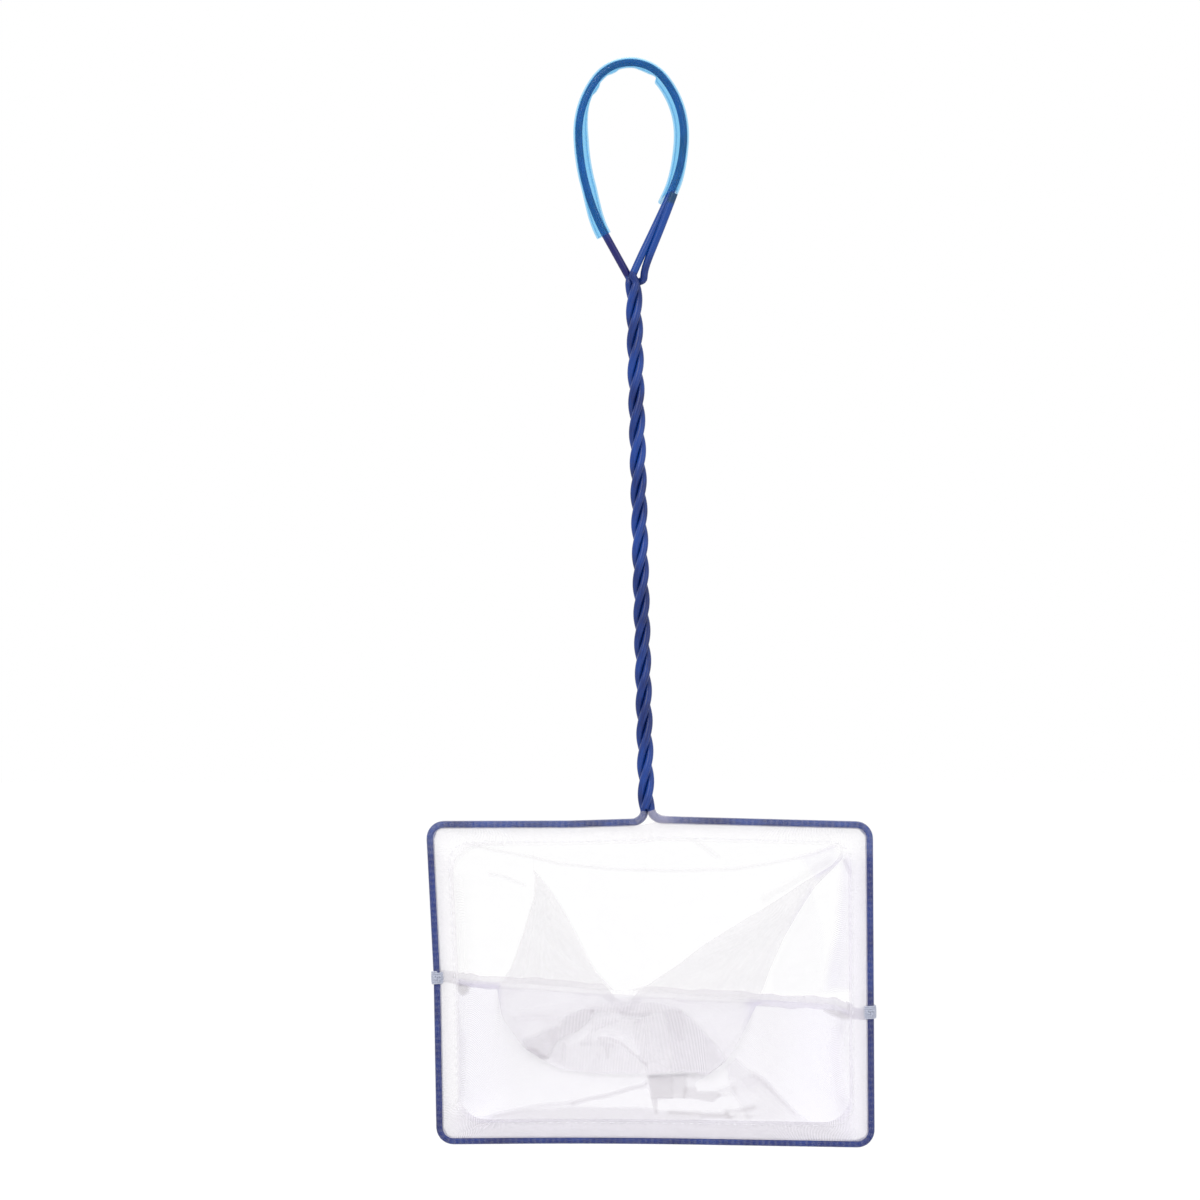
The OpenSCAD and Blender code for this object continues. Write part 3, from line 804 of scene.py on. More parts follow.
@dataclass
class WireFrame:
    """The coated wire: the hoop, the three strands of the handle and the hanging loop.

    The last fields are the marks that the coat carries. Their fades are heights from the loop's widest
    level, from the loop's foot or from the tail's end.
    """

    neck: Neck
    left: Flank = Flank(
        sign=-1.0, seam_drop=52.0, neck_rise=0.9, neck_vertex=1.0, neck_reach=5.6, phase=math.radians(128.4),
        leg_r=72.0, leg_angle=math.radians(27.8), leg_out=1.86, leg_back=0.9, back_fade=Fade(15.0, 0.0))
    right: Flank = Flank(
        sign=1.0, seam_drop=63.5, neck_rise=1.7, neck_vertex=2.5, neck_reach=7.0, phase=math.radians(8.4),
        leg_r=41.0, leg_angle=math.radians(24.8), leg_out=0.18, leg_back=-1.2, back_fade=Fade(20.0, 0.0))
    wire_d: float = 2.6
    bore: float = 1.66
    core_d: float = 1.6
    sides: int = 20
    core_sides: int = 14
    bore_step: int = 6
    core_step: int = 2
    hoop_top_w: float = 149.4
    hoop_bottom_w: float = 146.4
    hoop_h: float = 107.4
    hoop_spacing: float = 1.0
    corner_r: float = 4.6
    rail_drop: float = 5.7
    hoop_shift: float = 1.0
    right_sag: float = 0.2
    bottom_arch: float = 1.0
    arch_x: float = -18.0
    arch_r: float = 2600.0
    bottom_shift: float = 2.1
    bottom_drop_right: float = 1.1
    left_bow: float = 0.9
    bow_r: float = 60.0
    rail_bend_reach: float = 48.0
    rail_bend_rise: float = 0.15
    twist_len: float = 177.5
    twist_pitch: float = 30.7
    twist_points: int = 460
    strand_gap: float = 0.14
    strand_spacing: float = 0.5
    phase_return: float = math.radians(248.4)
    bend_lead: float = 0.5
    bend_fullness: float = 1.2
    loop_w: float = 35.2
    loop_top_r: float = 14.1
    loop_spacing: float = 0.6
    shoulder_r: float = 30.1
    leg_rise: float = 4.66
    sleeve_right: float = 22.4
    tail_points: int = 30
    tail_back: float = 0.4
    tail_gap: float = 0.04
    tail_spread: float = 1.08
    tail_closing: float = 11.0
    tail_swing_foot: float = math.radians(5)
    tail_swing_top: float = math.radians(-44)
    tail_end_gap: float = -2.2
    # Painted shade: the hoop's wire is darker below its top rails, and only a little darker on them.
    hoop_shade: float = 0.42
    rail_shade: float = 0.06
    rail_z: float = -16.0
    # Painted shade on the loop's left leg.
    leg_shade: float = 0.97
    leg_side: float = -0.9
    leg_shade_fade: Fade = Fade(-33.0, -37.0)
    # Painted light on the loop's right leg below the sleeve.
    leg_light_fade: Fade = Fade(-16.0, -20.0)
    # Painted light on the strands that run up below the sleeve.
    light_fade: Fade = Fade(1.0, 9.0)
    # Painted shade on the return strand's top.
    return_shade: float = 0.9
    return_fade: Fade = Fade(-1.0, 2.0)
    # Painted shade on the tail's end, where it meets the sleeve's mouth.
    cut: float = 0.85
    end_shade_fade: Fade = Fade(-1.6, -0.6)

    def __post_init__(self) -> None:
        """Works out the hoop's corners and the loop's levels from the sizes."""
        half_top, half_bottom = self.hoop_top_w / 2, self.hoop_bottom_w / 2
        self.top_left = np.array([self.hoop_shift - half_top, -self.rail_drop])
        self.top_right = np.array([self.hoop_shift + half_top, -self.rail_drop - self.right_sag])
        base = -self.rail_drop - self.hoop_h
        shift = self.hoop_shift + self.bottom_shift
        self.bottom_left = np.array([shift - half_bottom, base])
        self.bottom_right = np.array([shift + half_bottom, base - self.bottom_drop_right])
        self.bottom_bend = (self.bottom_left + self.bottom_right) / 2 + [self.arch_x, self.bottom_arch]
        self.rail_bend = self.top_left + [self.rail_bend_reach, self.rail_bend_rise]
        self.left_lash = self.along(self.top_left, self.bottom_left, self.left.seam_drop) + [self.left_bow, 0.0]
        self.right_lash = self.along(self.top_right, self.bottom_right, self.right.seam_drop)
        self.neck_left, self.rail_start_left = self.rail_end(self.left, self.rail_bend)
        self.neck_right, self.rail_start_right = self.rail_end(self.right, self.top_right)
        self.twist_r = (self.wire_d + self.strand_gap) / math.sqrt(3)
        self.top_half = math.asin((self.shoulder_r - self.loop_w / 2) / (self.shoulder_r - self.loop_top_r))
        self.loop_rise = self.loop_top_r + (self.shoulder_r - self.loop_top_r) * math.cos(self.top_half)
        self.left_foot, self.straight_left = self.leg(self.left)
        self.right_foot, self.straight_right = self.leg(self.right)
        self.wide_z = self.twist_len + self.leg_rise - self.right_foot[1]
        self.sleeve_straight = self.sleeve_right - self.right.leg_r * self.right.leg_angle

    def rail_end(self, side: Flank, corner: Array) -> tuple[Array, Array]:
        """Where a rail's line meets the neck and where its bend up starts, by the corner at its other end."""
        vertex = np.array([side.sign * side.neck_vertex, side.neck_rise - self.rail_drop])
        return vertex, self.along(vertex, corner, side.neck_reach - side.neck_vertex)

    def leg(self, side: Flank) -> tuple[Array, float]:
        """The straight of one of the loop's legs.

        Args:
            side: The leg's side.

        Returns:
            Its foot, as [x, z] from the loop's widest level, and its length up to the leg's arc.
        """
        end = np.array([self.loop_w / 2 - side.leg_r * (1 - math.cos(side.leg_angle)),
                        -side.leg_r * math.sin(side.leg_angle)])
        foot = np.array([side.leg_out, end[1] - (end[0] - side.leg_out) / math.tan(side.leg_angle)])
        return foot * [side.sign, 1.0], float(np.linalg.norm(foot - end))

    @staticmethod
    def along(start: Array, end: Array, length: float) -> Array:
        """The place a length along the way from start to end."""
        return start + unit(end - start) * length

    @staticmethod
    def lifted(flat: Array) -> Array:
        """Flat places [x, z] in the hoop's plane as places in space."""
        return np.stack([flat[..., 0], np.zeros(flat.shape[:-1]), flat[..., 1]], axis=-1)

    def outline(self) -> Array:
        """The hoop's corners, clockwise from the top left one."""
        return np.array([self.top_left, self.rail_bend, self.neck_left, self.neck_right, self.top_right,
                         self.bottom_right, self.bottom_bend, self.bottom_left, self.left_lash])

    def hoop_path(self) -> Array:
        """The hoop's centreline.

        Returns:
            Points from the left rail's start down and round to the right rail's start.
        """
        corners = [self.rail_start_left, self.rail_bend, self.top_left, self.left_lash, self.bottom_left,
                   self.bottom_bend, self.bottom_right, self.top_right, self.rail_start_right]
        radii = [self.bow_r, self.corner_r, self.bow_r, self.corner_r, self.arch_r, self.corner_r, self.corner_r]
        return spaced(self.lifted(rounded_run(corners, radii)), self.hoop_spacing)

    def on_handle(self, x: float, y: float, z: float) -> Array:
        """A place or a direction on the upright handle, leaned with it."""
        return self.neck.leaned(np.array([x, y, z]))

    def leg_way(self, side: Flank) -> Array:
        """The direction up the straight of one of the loop's legs."""
        return self.on_handle(side.sign * math.sin(side.leg_angle), 0.0, math.cos(side.leg_angle))

    def strand_at(self, phase: float, z: Array) -> Array:
        """Places on a strand, a right-handed helix round the leaning handle, at heights above the neck."""
        angle = phase + 2 * np.pi * z / self.twist_pitch
        return self.neck.leaned(np.stack([self.twist_r * np.cos(angle), self.twist_r * np.sin(angle), z], axis=-1))

    def strand_way(self, phase: float, z: float) -> Array:
        """The strand's direction at one height."""
        pair = self.strand_at(phase, np.array([z, z + self.twist_pitch / 360]))
        return unit(pair[1] - pair[0])

    def bend(self, start: Array, leave: Array, end: Array, arrive: Array) -> Array:
        """A smooth bend: a short straight, then a cubic that leaves and arrives along given directions.

        Args:
            start: Where the bend starts.
            leave: Its direction there.
            end: Where it ends.
            arrive: Its direction there.

        Returns:
            Points of the bend, from start to end.
        """
        p, q = start + leave * self.bend_lead, end - arrive * self.bend_lead
        reach = np.linalg.norm(q - p) * self.bend_fullness
        t = shares(33)[:, None]
        curve = (p * (2 * t**3 - 3 * t**2 + 1) + leave * reach * (t**3 - 2 * t**2 + t)
                 + q * (3 * t**2 - 2 * t**3) + arrive * reach * (t**3 - t**2))
        return np.concatenate([[start], curve, [end]])

    def neck_bend(self, side: Flank) -> Array:
        """The bend from a rail of the hoop up into a strand of the twist.

        Args:
            side: The rail's side.

        Returns:
            Points of the bend, from the rail up.
        """
        start, following = ((self.rail_start_left, self.rail_bend) if side is self.left
                            else (self.rail_start_right, self.top_right))
        return self.bend(self.lifted(start), unit(self.lifted(start - following)),
                         self.strand_at(side.phase, np.array([0.0]))[0], self.strand_way(side.phase, 0.0))

    def helix(self, phase: float) -> Array:
        """A whole strand of the twist."""
        return self.strand_at(phase, np.linspace(0.0, self.twist_len, self.twist_points))

    def strand_top(self, phase: float, foot: Array, way: Array) -> Array:
        """The bend from a strand's top to a leg of the loop."""
        end = self.strand_at(phase, np.array([self.twist_len]))[0]
        return self.bend(end, self.strand_way(phase, self.twist_len), foot, way)

    def tail(self) -> Array:
        """The cut tail's centreline.

        Returns:
            Points from the right leg's foot, where the tail closes up to the leg, up beside it and round to
            its front.
        """
        right = self.right
        side = self.on_handle(math.cos(right.leg_angle), 0.0, -math.sin(right.leg_angle))
        foot = self.on_handle(self.right_foot[0], 0.0, self.right_foot[1] + self.wide_z)
        share = shares(self.tail_points)[:, None]
        foot = foot + BACK * right.leg_back * self.tail_back * (1 - share) ** 2
        swing = self.tail_swing_foot + (self.tail_swing_top - self.tail_swing_foot) * share
        length = self.straight_right - self.sleeve_straight - self.tail_end_gap
        away = self.wire_d + self.tail_gap + self.tail_spread * (1 - share) ** self.tail_closing
        return foot + self.leg_way(right) * length * share + (side * np.cos(swing) + BACK * np.sin(swing)) * away

    def leg_run(self, side: Flank, draw_in: float, angle: float, straight: float) -> Array:
        """One side of the loop below its widest level: an arc, then a straight.

        Args:
            side: The side.
            draw_in: How far inside the wire's centreline the run lies.
            angle: Angle that the arc covers.
            straight: Length of the straight.

        Returns:
            Flat points from the loop's widest level down.
        """
        turned = arc((self.loop_w / 2 - side.leg_r, 0.0), side.leg_r - draw_in, 0.0, -angle)
        foot = turned[-1] - straight * np.array([math.sin(angle), math.cos(angle)])
        return np.concatenate([turned, [foot]]) * [side.sign, 1.0]

    def loop_path(self, draw_in: float, left: tuple[float, float], right: tuple[float, float]) -> Array:
        """The loop, from the left leg over the top to the right leg.

        Args:
            draw_in: How far inside the wire's centreline the path runs.
            left: Angle of the left leg's arc and length of the straight below it.
            right: The same for the right leg.

        Returns:
            Points of the path, evenly spaced.
        """
        shoulder, half = self.shoulder_r - self.loop_w / 2, self.top_half
        top = [
            arc((shoulder, 0.0), self.shoulder_r - draw_in, math.pi, half - math.pi / 2),
            arc((0.0, self.loop_rise - self.loop_top_r), self.loop_top_r - draw_in, math.pi / 2 + half, -2 * half),
            arc((-shoulder, 0.0), self.shoulder_r - draw_in, math.pi / 2 - half, half - math.pi / 2),
        ]
        flat = np.concatenate([self.leg_run(self.left, draw_in, *left)[::-1], *(part[1:] for part in top),
                               self.leg_run(self.right, draw_in, *right)[1:]])
        flat = spaced(flat, self.loop_spacing) + [0.0, self.wide_z]
        return self.neck.leaned(self.lifted(flat))

    def loop_wire(self) -> Array:
        """The loop's own wire.

        Returns:
            Points from the left leg's foot, a little behind the handle's middle, to the right leg's, in front.
        """
        path = self.loop_path(
            0.0, (self.left.leg_angle, self.straight_left), (self.right.leg_angle, self.straight_right))
        length = travelled(path)
        back = (self.left.leg_back * self.left.back_fade.at(length)
                + self.right.leg_back * self.right.back_fade.at(length[-1] - length))
        return path + back[:, None] * BACK

    def strand_paths(self) -> dict[str, Array]:
        """Centrelines of the three strands.

        Returns:
            The left and the right strand from the hoop, the left one up to its cut tail's end, and the
            return strand from its foot. The right and the return strand end at the loop's legs.
        """
        left, right, tail = self.left, self.right, self.tail()
        foot_left = self.on_handle(self.left_foot[0], left.leg_back, self.left_foot[1] + self.wide_z)
        foot_right = self.on_handle(self.right_foot[0], right.leg_back, self.right_foot[1] + self.wide_z)
        return {
            "left_strand": np.concatenate([
                self.neck_bend(left), self.helix(left.phase)[1:],
                self.strand_top(left.phase, tail[0], unit(tail[1] - tail[0]))[1:], tail[1:]]),
            "right_strand": np.concatenate([
                self.neck_bend(right), self.helix(right.phase)[1:],
                self.strand_top(right.phase, foot_right, self.leg_way(right))[1:]]),
            "return_strand": np.concatenate([
                self.helix(self.phase_return),
                self.strand_top(self.phase_return, foot_left, self.leg_way(left))[1:]]),
        }

    def coat(self, path: Array) -> Skin:
        """The coat round a run of wire: an outer and an inner wall that meet at both cut ends.

        Args:
            path: The run's centreline.

        Returns:
            One closed skin, outer wall first, then back through the bore.
        """
        outer = sweep(path, circle(self.wire_d / 2, self.sides))
        inner = sweep(path, circle(self.bore / 2, self.sides))[kept_rows(len(path), self.bore_step)]
        return Skin(np.concatenate([outer, inner[::-1]])[:, ::-1], round_rows=True, round_columns=True)

    def core(self, path: Array) -> Skin:
        """The steel core of a run of wire, cut flush with its coat."""
        rod = sweep(path, circle(self.core_d / 2, self.core_sides))[kept_rows(len(path), self.core_step)]
        return Skin(rod[:, ::-1], round_columns=True, capped=True)

    def marks(self, name: str, skin: Skin) -> dict[str, Array]:
        """Where painted shade darkens a run's coat and painted light brightens it.

        Args:
            name: The run.
            skin: Its coat.

        Returns:
            The marks "dusk", painted shade on the hoop, the return strand's top and the loop's left leg,
            "fresh", painted light on the wires that run up beside each other below the sleeve, and "cut",
            painted shade on the tail's end.
        """
        x, z = skin.points[..., 0].mean(1), skin.points[..., 2].mean(1)
        foot = self.on_handle(0.0, 0.0, self.twist_len + self.leg_rise)[2]
        tail_end = self.on_handle(0.0, 0.0, self.wide_z)[2] - self.sleeve_right
        left = x + z * math.tan(self.neck.lean) < self.leg_side
        # Painted light on the strands above the loop's foot.
        fresh = self.light_fade.at(z - foot)
        found = {
            # Painted shade and painted light along each run.
            "hoop": {"dusk": np.where(z > self.rail_z, self.rail_shade, self.hoop_shade)},
            "loop": {"dusk": self.leg_shade * left * self.leg_shade_fade.at(z - self.wide_z),
                     "fresh": ~left * self.leg_light_fade.at(z - self.wide_z)},
            "return_strand": {"dusk": self.return_shade * self.return_fade.at(z - foot)},
            "left_strand": {"fresh": fresh, "cut": self.cut * self.end_shade_fade.at(z - tail_end)},
            "right_strand": {"fresh": fresh},
        }
        return {mark: value[:, None] for mark, value in found[name].items()}

    def build(self, coat: Material, steel: Material) -> None:
        """Makes the five runs of coated wire with their steel cores.

        Args:
            coat: Material of the plastic coat.
            steel: Material of the cores.
        """
        strands = {name: spaced(path, self.strand_spacing) for name, path in self.strand_paths().items()}
        runs = {"hoop": self.hoop_path(), **strands, "loop": self.loop_wire()}
        for name, path in runs.items():
            skin = self.coat(path)
            skin.marks = self.marks(name, skin)
            dress(make_piece(f"{name}_coat", [skin], self.neck), coat, f"{name}_coating")
            dress(make_piece(f"{name}_steel", [self.core(path)], self.neck), steel, f"{name}_core")


@dataclass
class Sleeve:
    """The clear tube on the loop: it hugs the wire's outer side, and creases inside the tight top bend."""

    wire: WireFrame
    outer: float = 5.4
    wall: float = 0.55
    gap: float = 0.15
    left_reach: float = 35.1
    sides: int = 28
    slip_left: float = 1.35
    slip_right: float = 0.6
    left_fade: Fade = Fade(18.0, 1.0)
    right_fade: Fade = Fade(14.0, 0.0)
    short: float = 2.6
    slant: float = 6.0
    slant_fade: Fade = Fade(12.0, 0.0)
    slant_side: float = 0.75 * math.pi
    press: float = 0.60
    press_left: Fade = Fade(-2.25, -1.30)
    press_right: Fade = Fade(0.86, 0.74)
    most_press: float = 0.62
    outer_press: float = 0.06
    bumps: tuple[tuple[float, float, float], ...] = (
        (-1.14, 0.15, 0.22), (-0.48, 0.14, 0.20), (0.43, 0.20, 0.22), (0.20, 0.08, 0.08))
    creases: tuple[tuple[float, float], ...] = ((-1.32, 0.4), (-0.95, 0.7), (-0.66, 0.5), (-0.31, 0.6), (0.76, 1.0))
    crease_w: float = 0.03
    crease_press: float = 0.10

    def path(self) -> Array:
        """The sleeve's centreline.

        Returns:
            Points inside the wire's centreline, which cross to its outer side at both ends.
        """
        wire = self.wire
        path = wire.loop_path(
            self.outer / 2 - self.wall - wire.wire_d / 2 - self.gap, (self.left_reach / wire.left.leg_r, 0.0),
            (wire.right.leg_angle, wire.sleeve_straight - self.short))
        length = travelled(path)
        out = (self.slip_left * self.left_fade.at(length)
               + self.slip_right * self.right_fade.at(length[-1] - length))
        return path + frames(path)[2] * out[:, None]

    def walls(self) -> Skin:
        """The tube's two walls as one closed skin.

        Returns:
            A skin whose inner side is pressed against the wire round the tight top bend, by a share of the
            radius that follows the angle round the bend. Each bump, a place with its width and height,
            stands off there, and each crease, a place with its depth, is pressed in and marked as a pinch.
            The right end is cut at a slant that leaves room for the wire's tail in front.
        """
        path = self.path()
        wire = self.wire
        centre = wire.on_handle(0.0, 0.0, wire.wide_z + wire.loop_rise - wire.loop_top_r)
        turn = np.arctan2(path[:, 0] - centre[0], path[:, 2] - centre[2])
        flat = self.press * self.press_left.at(turn) * self.press_right.at(turn)
        for place, width, height in self.bumps:
            flat -= height * np.exp(-(((turn - place) / width) ** 4))
        pinch = sum(depth * np.exp(-(((turn - place) / self.crease_w) ** 2)) for place, depth in self.creases)
        angles = turns(self.sides)
        inward = np.clip(-np.sin(angles), 0.0, 1.0)[None, :] ** 0.9
        outward = np.clip(np.sin(angles), 0.0, 1.0)[None, :]
        pressed = np.minimum(flat + self.crease_press * pinch, self.most_press)[:, None] * inward
        squeeze = 1 - pressed - self.outer_press * outward
        ring = np.stack([np.cos(angles) * np.ones((len(path), 1)), np.sin(angles) * squeeze], axis=-1)
        length = travelled(path)
        reach = self.slant * self.slant_fade.at(length[-1] - length)[:, None]
        ahead = frames(path)[0][:, None] * (reach * (0.5 - 0.5 * np.cos(angles - self.slant_side)))[..., None]
        outside = sweep(path, ring * self.outer / 2) + ahead
        inside = sweep(path, ring * (self.outer / 2 - self.wall)) + ahead
        marks = pinch[:, None] * inward
        return Skin(np.concatenate([outside, inside[::-1]])[:, ::-1], round_rows=True, round_columns=True,
                    marks={"pinch": np.concatenate([marks, marks[::-1]])[:, ::-1]})

    def build(self, material: Material) -> None:
        """Makes the sleeve."""
        dress(make_piece("hanging_sleeve", [self.walls()], self.wire.neck), material, "loop_sleeve")


# The cloth


def stitches(starts: Array, ends: Array, outward: Array, thick: float, lift: float) -> Skin:
    """Short stitches that arch over the cloth: a rod that dips into it at both ends.

    Args:
        starts: Where each stitch comes up, (count, 3).
        ends: Where it goes down.
        outward: The side of the cloth on which each stitch lies.
        thick: The thread's diameter.
        lift: How far its middle stands off the line between its ends.

    Returns:
        A stack of small round grids with closed ends.
    """
    share = np.array([0.0, 0.12, 0.35, 0.65, 0.88, 1.0])
    arch = lift * np.sin(np.pi * share) ** 0.6 - 0.15 * (1 - np.sin(np.pi * share))
    girth = thick / 2 * np.array([0.55, 0.9, 1.0, 1.0, 0.9, 0.55])
    way = unit(ends - starts)
    side = unit(np.cross(way, outward))
    line = starts[:, None] + (ends - starts)[:, None] * share[:, None] + outward[:, None] * arch[:, None]
    angles = turns(STITCH_SIDES)
    around = outward[:, None] * np.cos(angles)[:, None] + side[:, None] * np.sin(angles)[:, None]
    return Skin(line[:, :, None] + around[:, None] * girth[:, None, None], round_columns=True, capped=True)


def running_stitch(line: Array, outward: Array, first: float, pitch: float, length: float,
                   thick: float, lift: float) -> Skin:
    """Stitches that follow each other along a line.

    Args:
        line: Points of the line.
        outward: The cloth's outer side at each of them.
        first: Where the first stitch starts, as a share of the pitch.
        pitch: The least distance from one stitch's start to the next.
        length: A stitch's length along the line.
        thick: The thread's diameter.
        lift: How far a stitch's middle stands off the line.

    Returns:
        A stack of rods, evenly divided over the line.
    """
    run = travelled(line)
    count = int(run[-1] // pitch)
    at = (np.arange(count) + first) * run[-1] / count
    starts, ends = looked_up(at, run, line), looked_up(at + length, run, line)
    return stitches(starts, ends, unit(looked_up(at, run, outward)), thick, lift)


@dataclass
class Casing:
    """The mesh strip folded over the hoop's wire, stitched flat inside it, and the two seam lashings."""

    wire: WireFrame
    width: float = 7.0
    cling: float = 0.10
    layer: float = 0.32
    stitch: float = 1.9
    pitch: float = 3.0
    thread: float = 0.2
    thread_lift: float = 0.1
    thread_inset: float = 1.1
    inner_r: float = 8.5
    neck_r: float = 3.0
    least_r: float = 1.0
    least_neck_r: float = 0.6
    near_wire: float = 3.0
    arc_steps: int = 10
    side_steps: int = 44
    strip: tuple[float, ...] = (0.0, 0.1, 0.25, 0.45, 0.7, 0.9, 1.0)
    strip_start: float = 0.9
    closing: Fade = Fade(0.5, 0.0)
    ripple: float = 0.12
    fold: float = 0.12
    middle_x: float = 1.0
    low_z: Fade = Fade(-96.0, -106.0)
    low_x: Fade = Fade(72.0, 60.0)
    side_z: Fade = Fade(-12.0, -22.0)
    side_x: Fade = Fade(62.0, 68.0)
    neck_spot: tuple[float, float] = (0.8, -7.0)
    neck_spot_r: float = 9.0
    wrap_sides: int = 18
    wrap_spacing: float = 0.7
    wrap_climb: int = 31
    pucker: float = 0.03
    pucker_folds: int = 3
    bunch_folds: int = 5
    bunch_fold: float = 0.072
    bunch_twist: float = 1.3
    bunch_swell: float = 0.16
    tick: float = 0.18
    bunches: tuple[tuple[float, Fade], ...] = ((0.46, Fade(11.5, 4.5)), (0.25, Fade(26.0, 4.0)))
    left_bunch: float = 0.30
    left_bunch_fade: Fade = Fade(9.0, 3.0)
    tick_pitch: float = 2.1
    turns_left: float = 6.5
    turns_right: float = 7.0
    turn_pitch: float = 0.64
    turn_points: int = 28
    lash_gap: float = 0.32
    lash_swell: float = 0.18
    lash_thread: float = 0.68
    knot_thread: float = 0.62
    knot_lift: float = 1.15
    knot_points: int = 90
    knot_size: tuple[float, float, float] = (0.42, 0.36, 0.30)

    def edge(self, inwards: float) -> Array:
        """A line that runs inside the hoop's wire, as flat places.

        Args:
            inwards: How far inside the wire's centre it runs.

        Returns:
            Points that pair up with those of any other such line. Near the wire its corners follow the
            wire's, and further in they open up in proportion.
        """
        wire = self.wire
        near = inwards < self.near_wire
        tight = max(wire.corner_r - inwards, self.least_r) if near else self.inner_r * inwards / self.width
        small = max(self.least_neck_r, self.neck_r * inwards / self.width)
        radii = [tight, wire.bow_r, small, small, tight, tight, wire.arch_r, tight, wire.bow_r]
        return rounded_outline(inset(wire.outline(), inwards), radii, self.arc_steps, self.side_steps)

    def band(self) -> Skin:
        """The flat doubled band: it leaves the wire's front and back and meets in a fold at its inner edge.

        Returns:
            A skin of lines at growing distances from the wire, out along the front and home along the back.
            It is bunched round the neck, along the bottom and down both sides, and thin at its inner edge.
        """
        share = np.array(self.strip)
        gap = self.layer / 2 + (self.wire.wire_d / 2 - self.cling - self.layer / 2) * self.closing.at(share)
        outer, inner = self.edge(self.strip_start), self.edge(self.width)
        flat = outer[:, None] * (1 - share[:, None]) + inner[:, None] * share[:, None]
        ripple = self.ripple * np.sin(travelled(outer) * 2 * np.pi / self.pitch)[:, None] * smooth(share / 0.8)
        front = np.stack([flat[..., 0], -gap + ripple, flat[..., 1]], axis=-1)
        back = np.stack([flat[..., 0], gap + ripple, flat[..., 1]], axis=-1)
        fold = self.wire.lifted(self.edge(self.width + self.fold))[:, None]
        points = np.concatenate([front, fold, back[:, ::-1]], axis=1)
        x, z = points[..., 0], points[..., 2]
        away = np.abs(x - self.middle_x)
        inward = np.concatenate([share, [1.0], share[::-1]]) ** 2
        low = self.low_z.at(z) * self.low_x.at(away)
        side = self.side_z.at(z) * self.side_x.at(away)
        round_neck = np.exp(-((np.hypot(x - self.neck_spot[0], z - self.neck_spot[1]) / self.neck_spot_r) ** 2))
        thin = 0.75 * inward * (1 - low) * (1 - 0.6 * side)
        return Skin(points, round_rows=True, marks={
            "gather": 0.38 - thin + 0.4 * round_neck + 1.6 * low + 0.5 * side,
            "shade": 0.12 + 0.20 * low + 0.04 * side,
            "cool": 0.05 + 0.3 * low + 0.4 * side * (x > 0)})

    def wrap(self) -> Skin:
        """The strip's round part, stretched over the wire and bunched where it climbs into the neck.

        Returns:
            A skin round the wire. Its radius swells by small puckers at the stitches' pitch, and by folds
            that wind round the wire where the strip is bunched. Fine ticks of thicker cloth follow the wire.
        """
        wire = self.wire
        left, right = (wire.neck_bend(side)[:self.wrap_climb] for side in (wire.left, wire.right))
        path = spaced(np.concatenate([left[::-1], wire.hoop_path()[1:], right[1:]]), self.wrap_spacing)
        along = travelled(path)
        bunch = self.left_bunch * self.left_bunch_fade.at(along)
        for share, fade in self.bunches:
            bunch = bunch + share * fade.at(along[-1] - along)
        angles = turns(self.wrap_sides)
        stitched = np.sin(along * 2 * np.pi / self.pitch)[:, None]
        pucker = self.pucker * stitched * np.sin(self.pucker_folds * angles)
        folds = self.bunch_fold * bunch[:, None] * np.sin(
            self.bunch_folds * angles + along[:, None] * self.bunch_twist)
        radius = wire.wire_d / 2 + self.cling + self.bunch_swell * bunch[:, None] + pucker + folds
        ring = np.stack([np.cos(angles), np.sin(angles)], axis=-1) * radius[..., None]
        ticks = self.tick * np.sin(along * 2 * np.pi / self.tick_pitch) * (1 - bunch)
        gather = -0.78 + 0.22 * (path[:, 2] > wire.rail_z) + 2.0 * bunch + ticks
        return Skin(sweep(path, ring), round_columns=True, marks={
            "gather": gather[:, None], "shade": np.full((1, 1), 0.42), "cool": 1.4 * bunch[:, None]})

    def stitch_rows(self) -> Skin:
        """Running stitches near the band's inner edge, on its front.

        Returns:
            A stack of rods, one for each stitch.
        """
        line = self.wire.lifted(self.edge(self.width - self.thread_inset))
        front = np.concatenate([line, line[:1]]) - BACK * (self.layer / 2 + 0.02)
        return running_stitch(
            front, np.tile(-BACK, (len(front), 1)), 0.0, self.pitch, self.stitch, self.thread, self.thread_lift)

    def lashing(self, place: Array, way: Array, count: float) -> list[Skin]:
        """Thread wound round the casing and the wire, with its knot.

        Args:
            place: The lashing's middle on the wire, as [x, z].
            way: The wire's direction there.
            count: How many turns the thread makes.

        Returns:
            The winding, a helix that bulges a little at its middle, and a small overhand knot on the front.
        """
        centre, along = self.wire.lifted(place), self.wire.lifted(way)
        side = np.cross(along, BACK)
        share = shares(int(count * self.turn_points))
        angle = 2 * np.pi * count * share
        wire_r = self.wire.wire_d / 2
        radius = wire_r + self.cling + self.lash_gap + self.lash_swell * np.sin(np.pi * share) ** 0.5
        coil = (centre + along * ((share - 0.5) * self.turn_pitch * count)[:, None]
                + (BACK * np.cos(angle)[:, None] + side * np.sin(angle)[:, None]) * radius[:, None])
        t = np.linspace(0.0, 2 * np.pi, self.knot_points)
        knot = np.stack([np.sin(t) + 2 * np.sin(2 * t), np.cos(t) - 2 * np.cos(2 * t), -np.sin(3 * t)], axis=-1)
        knot = (knot * self.knot_size) @ np.stack([side, along, BACK])
        front = centre - BACK * (wire_r + self.knot_lift)
        return [self.tube(coil, self.lash_thread), self.tube(front + knot, self.knot_thread)]

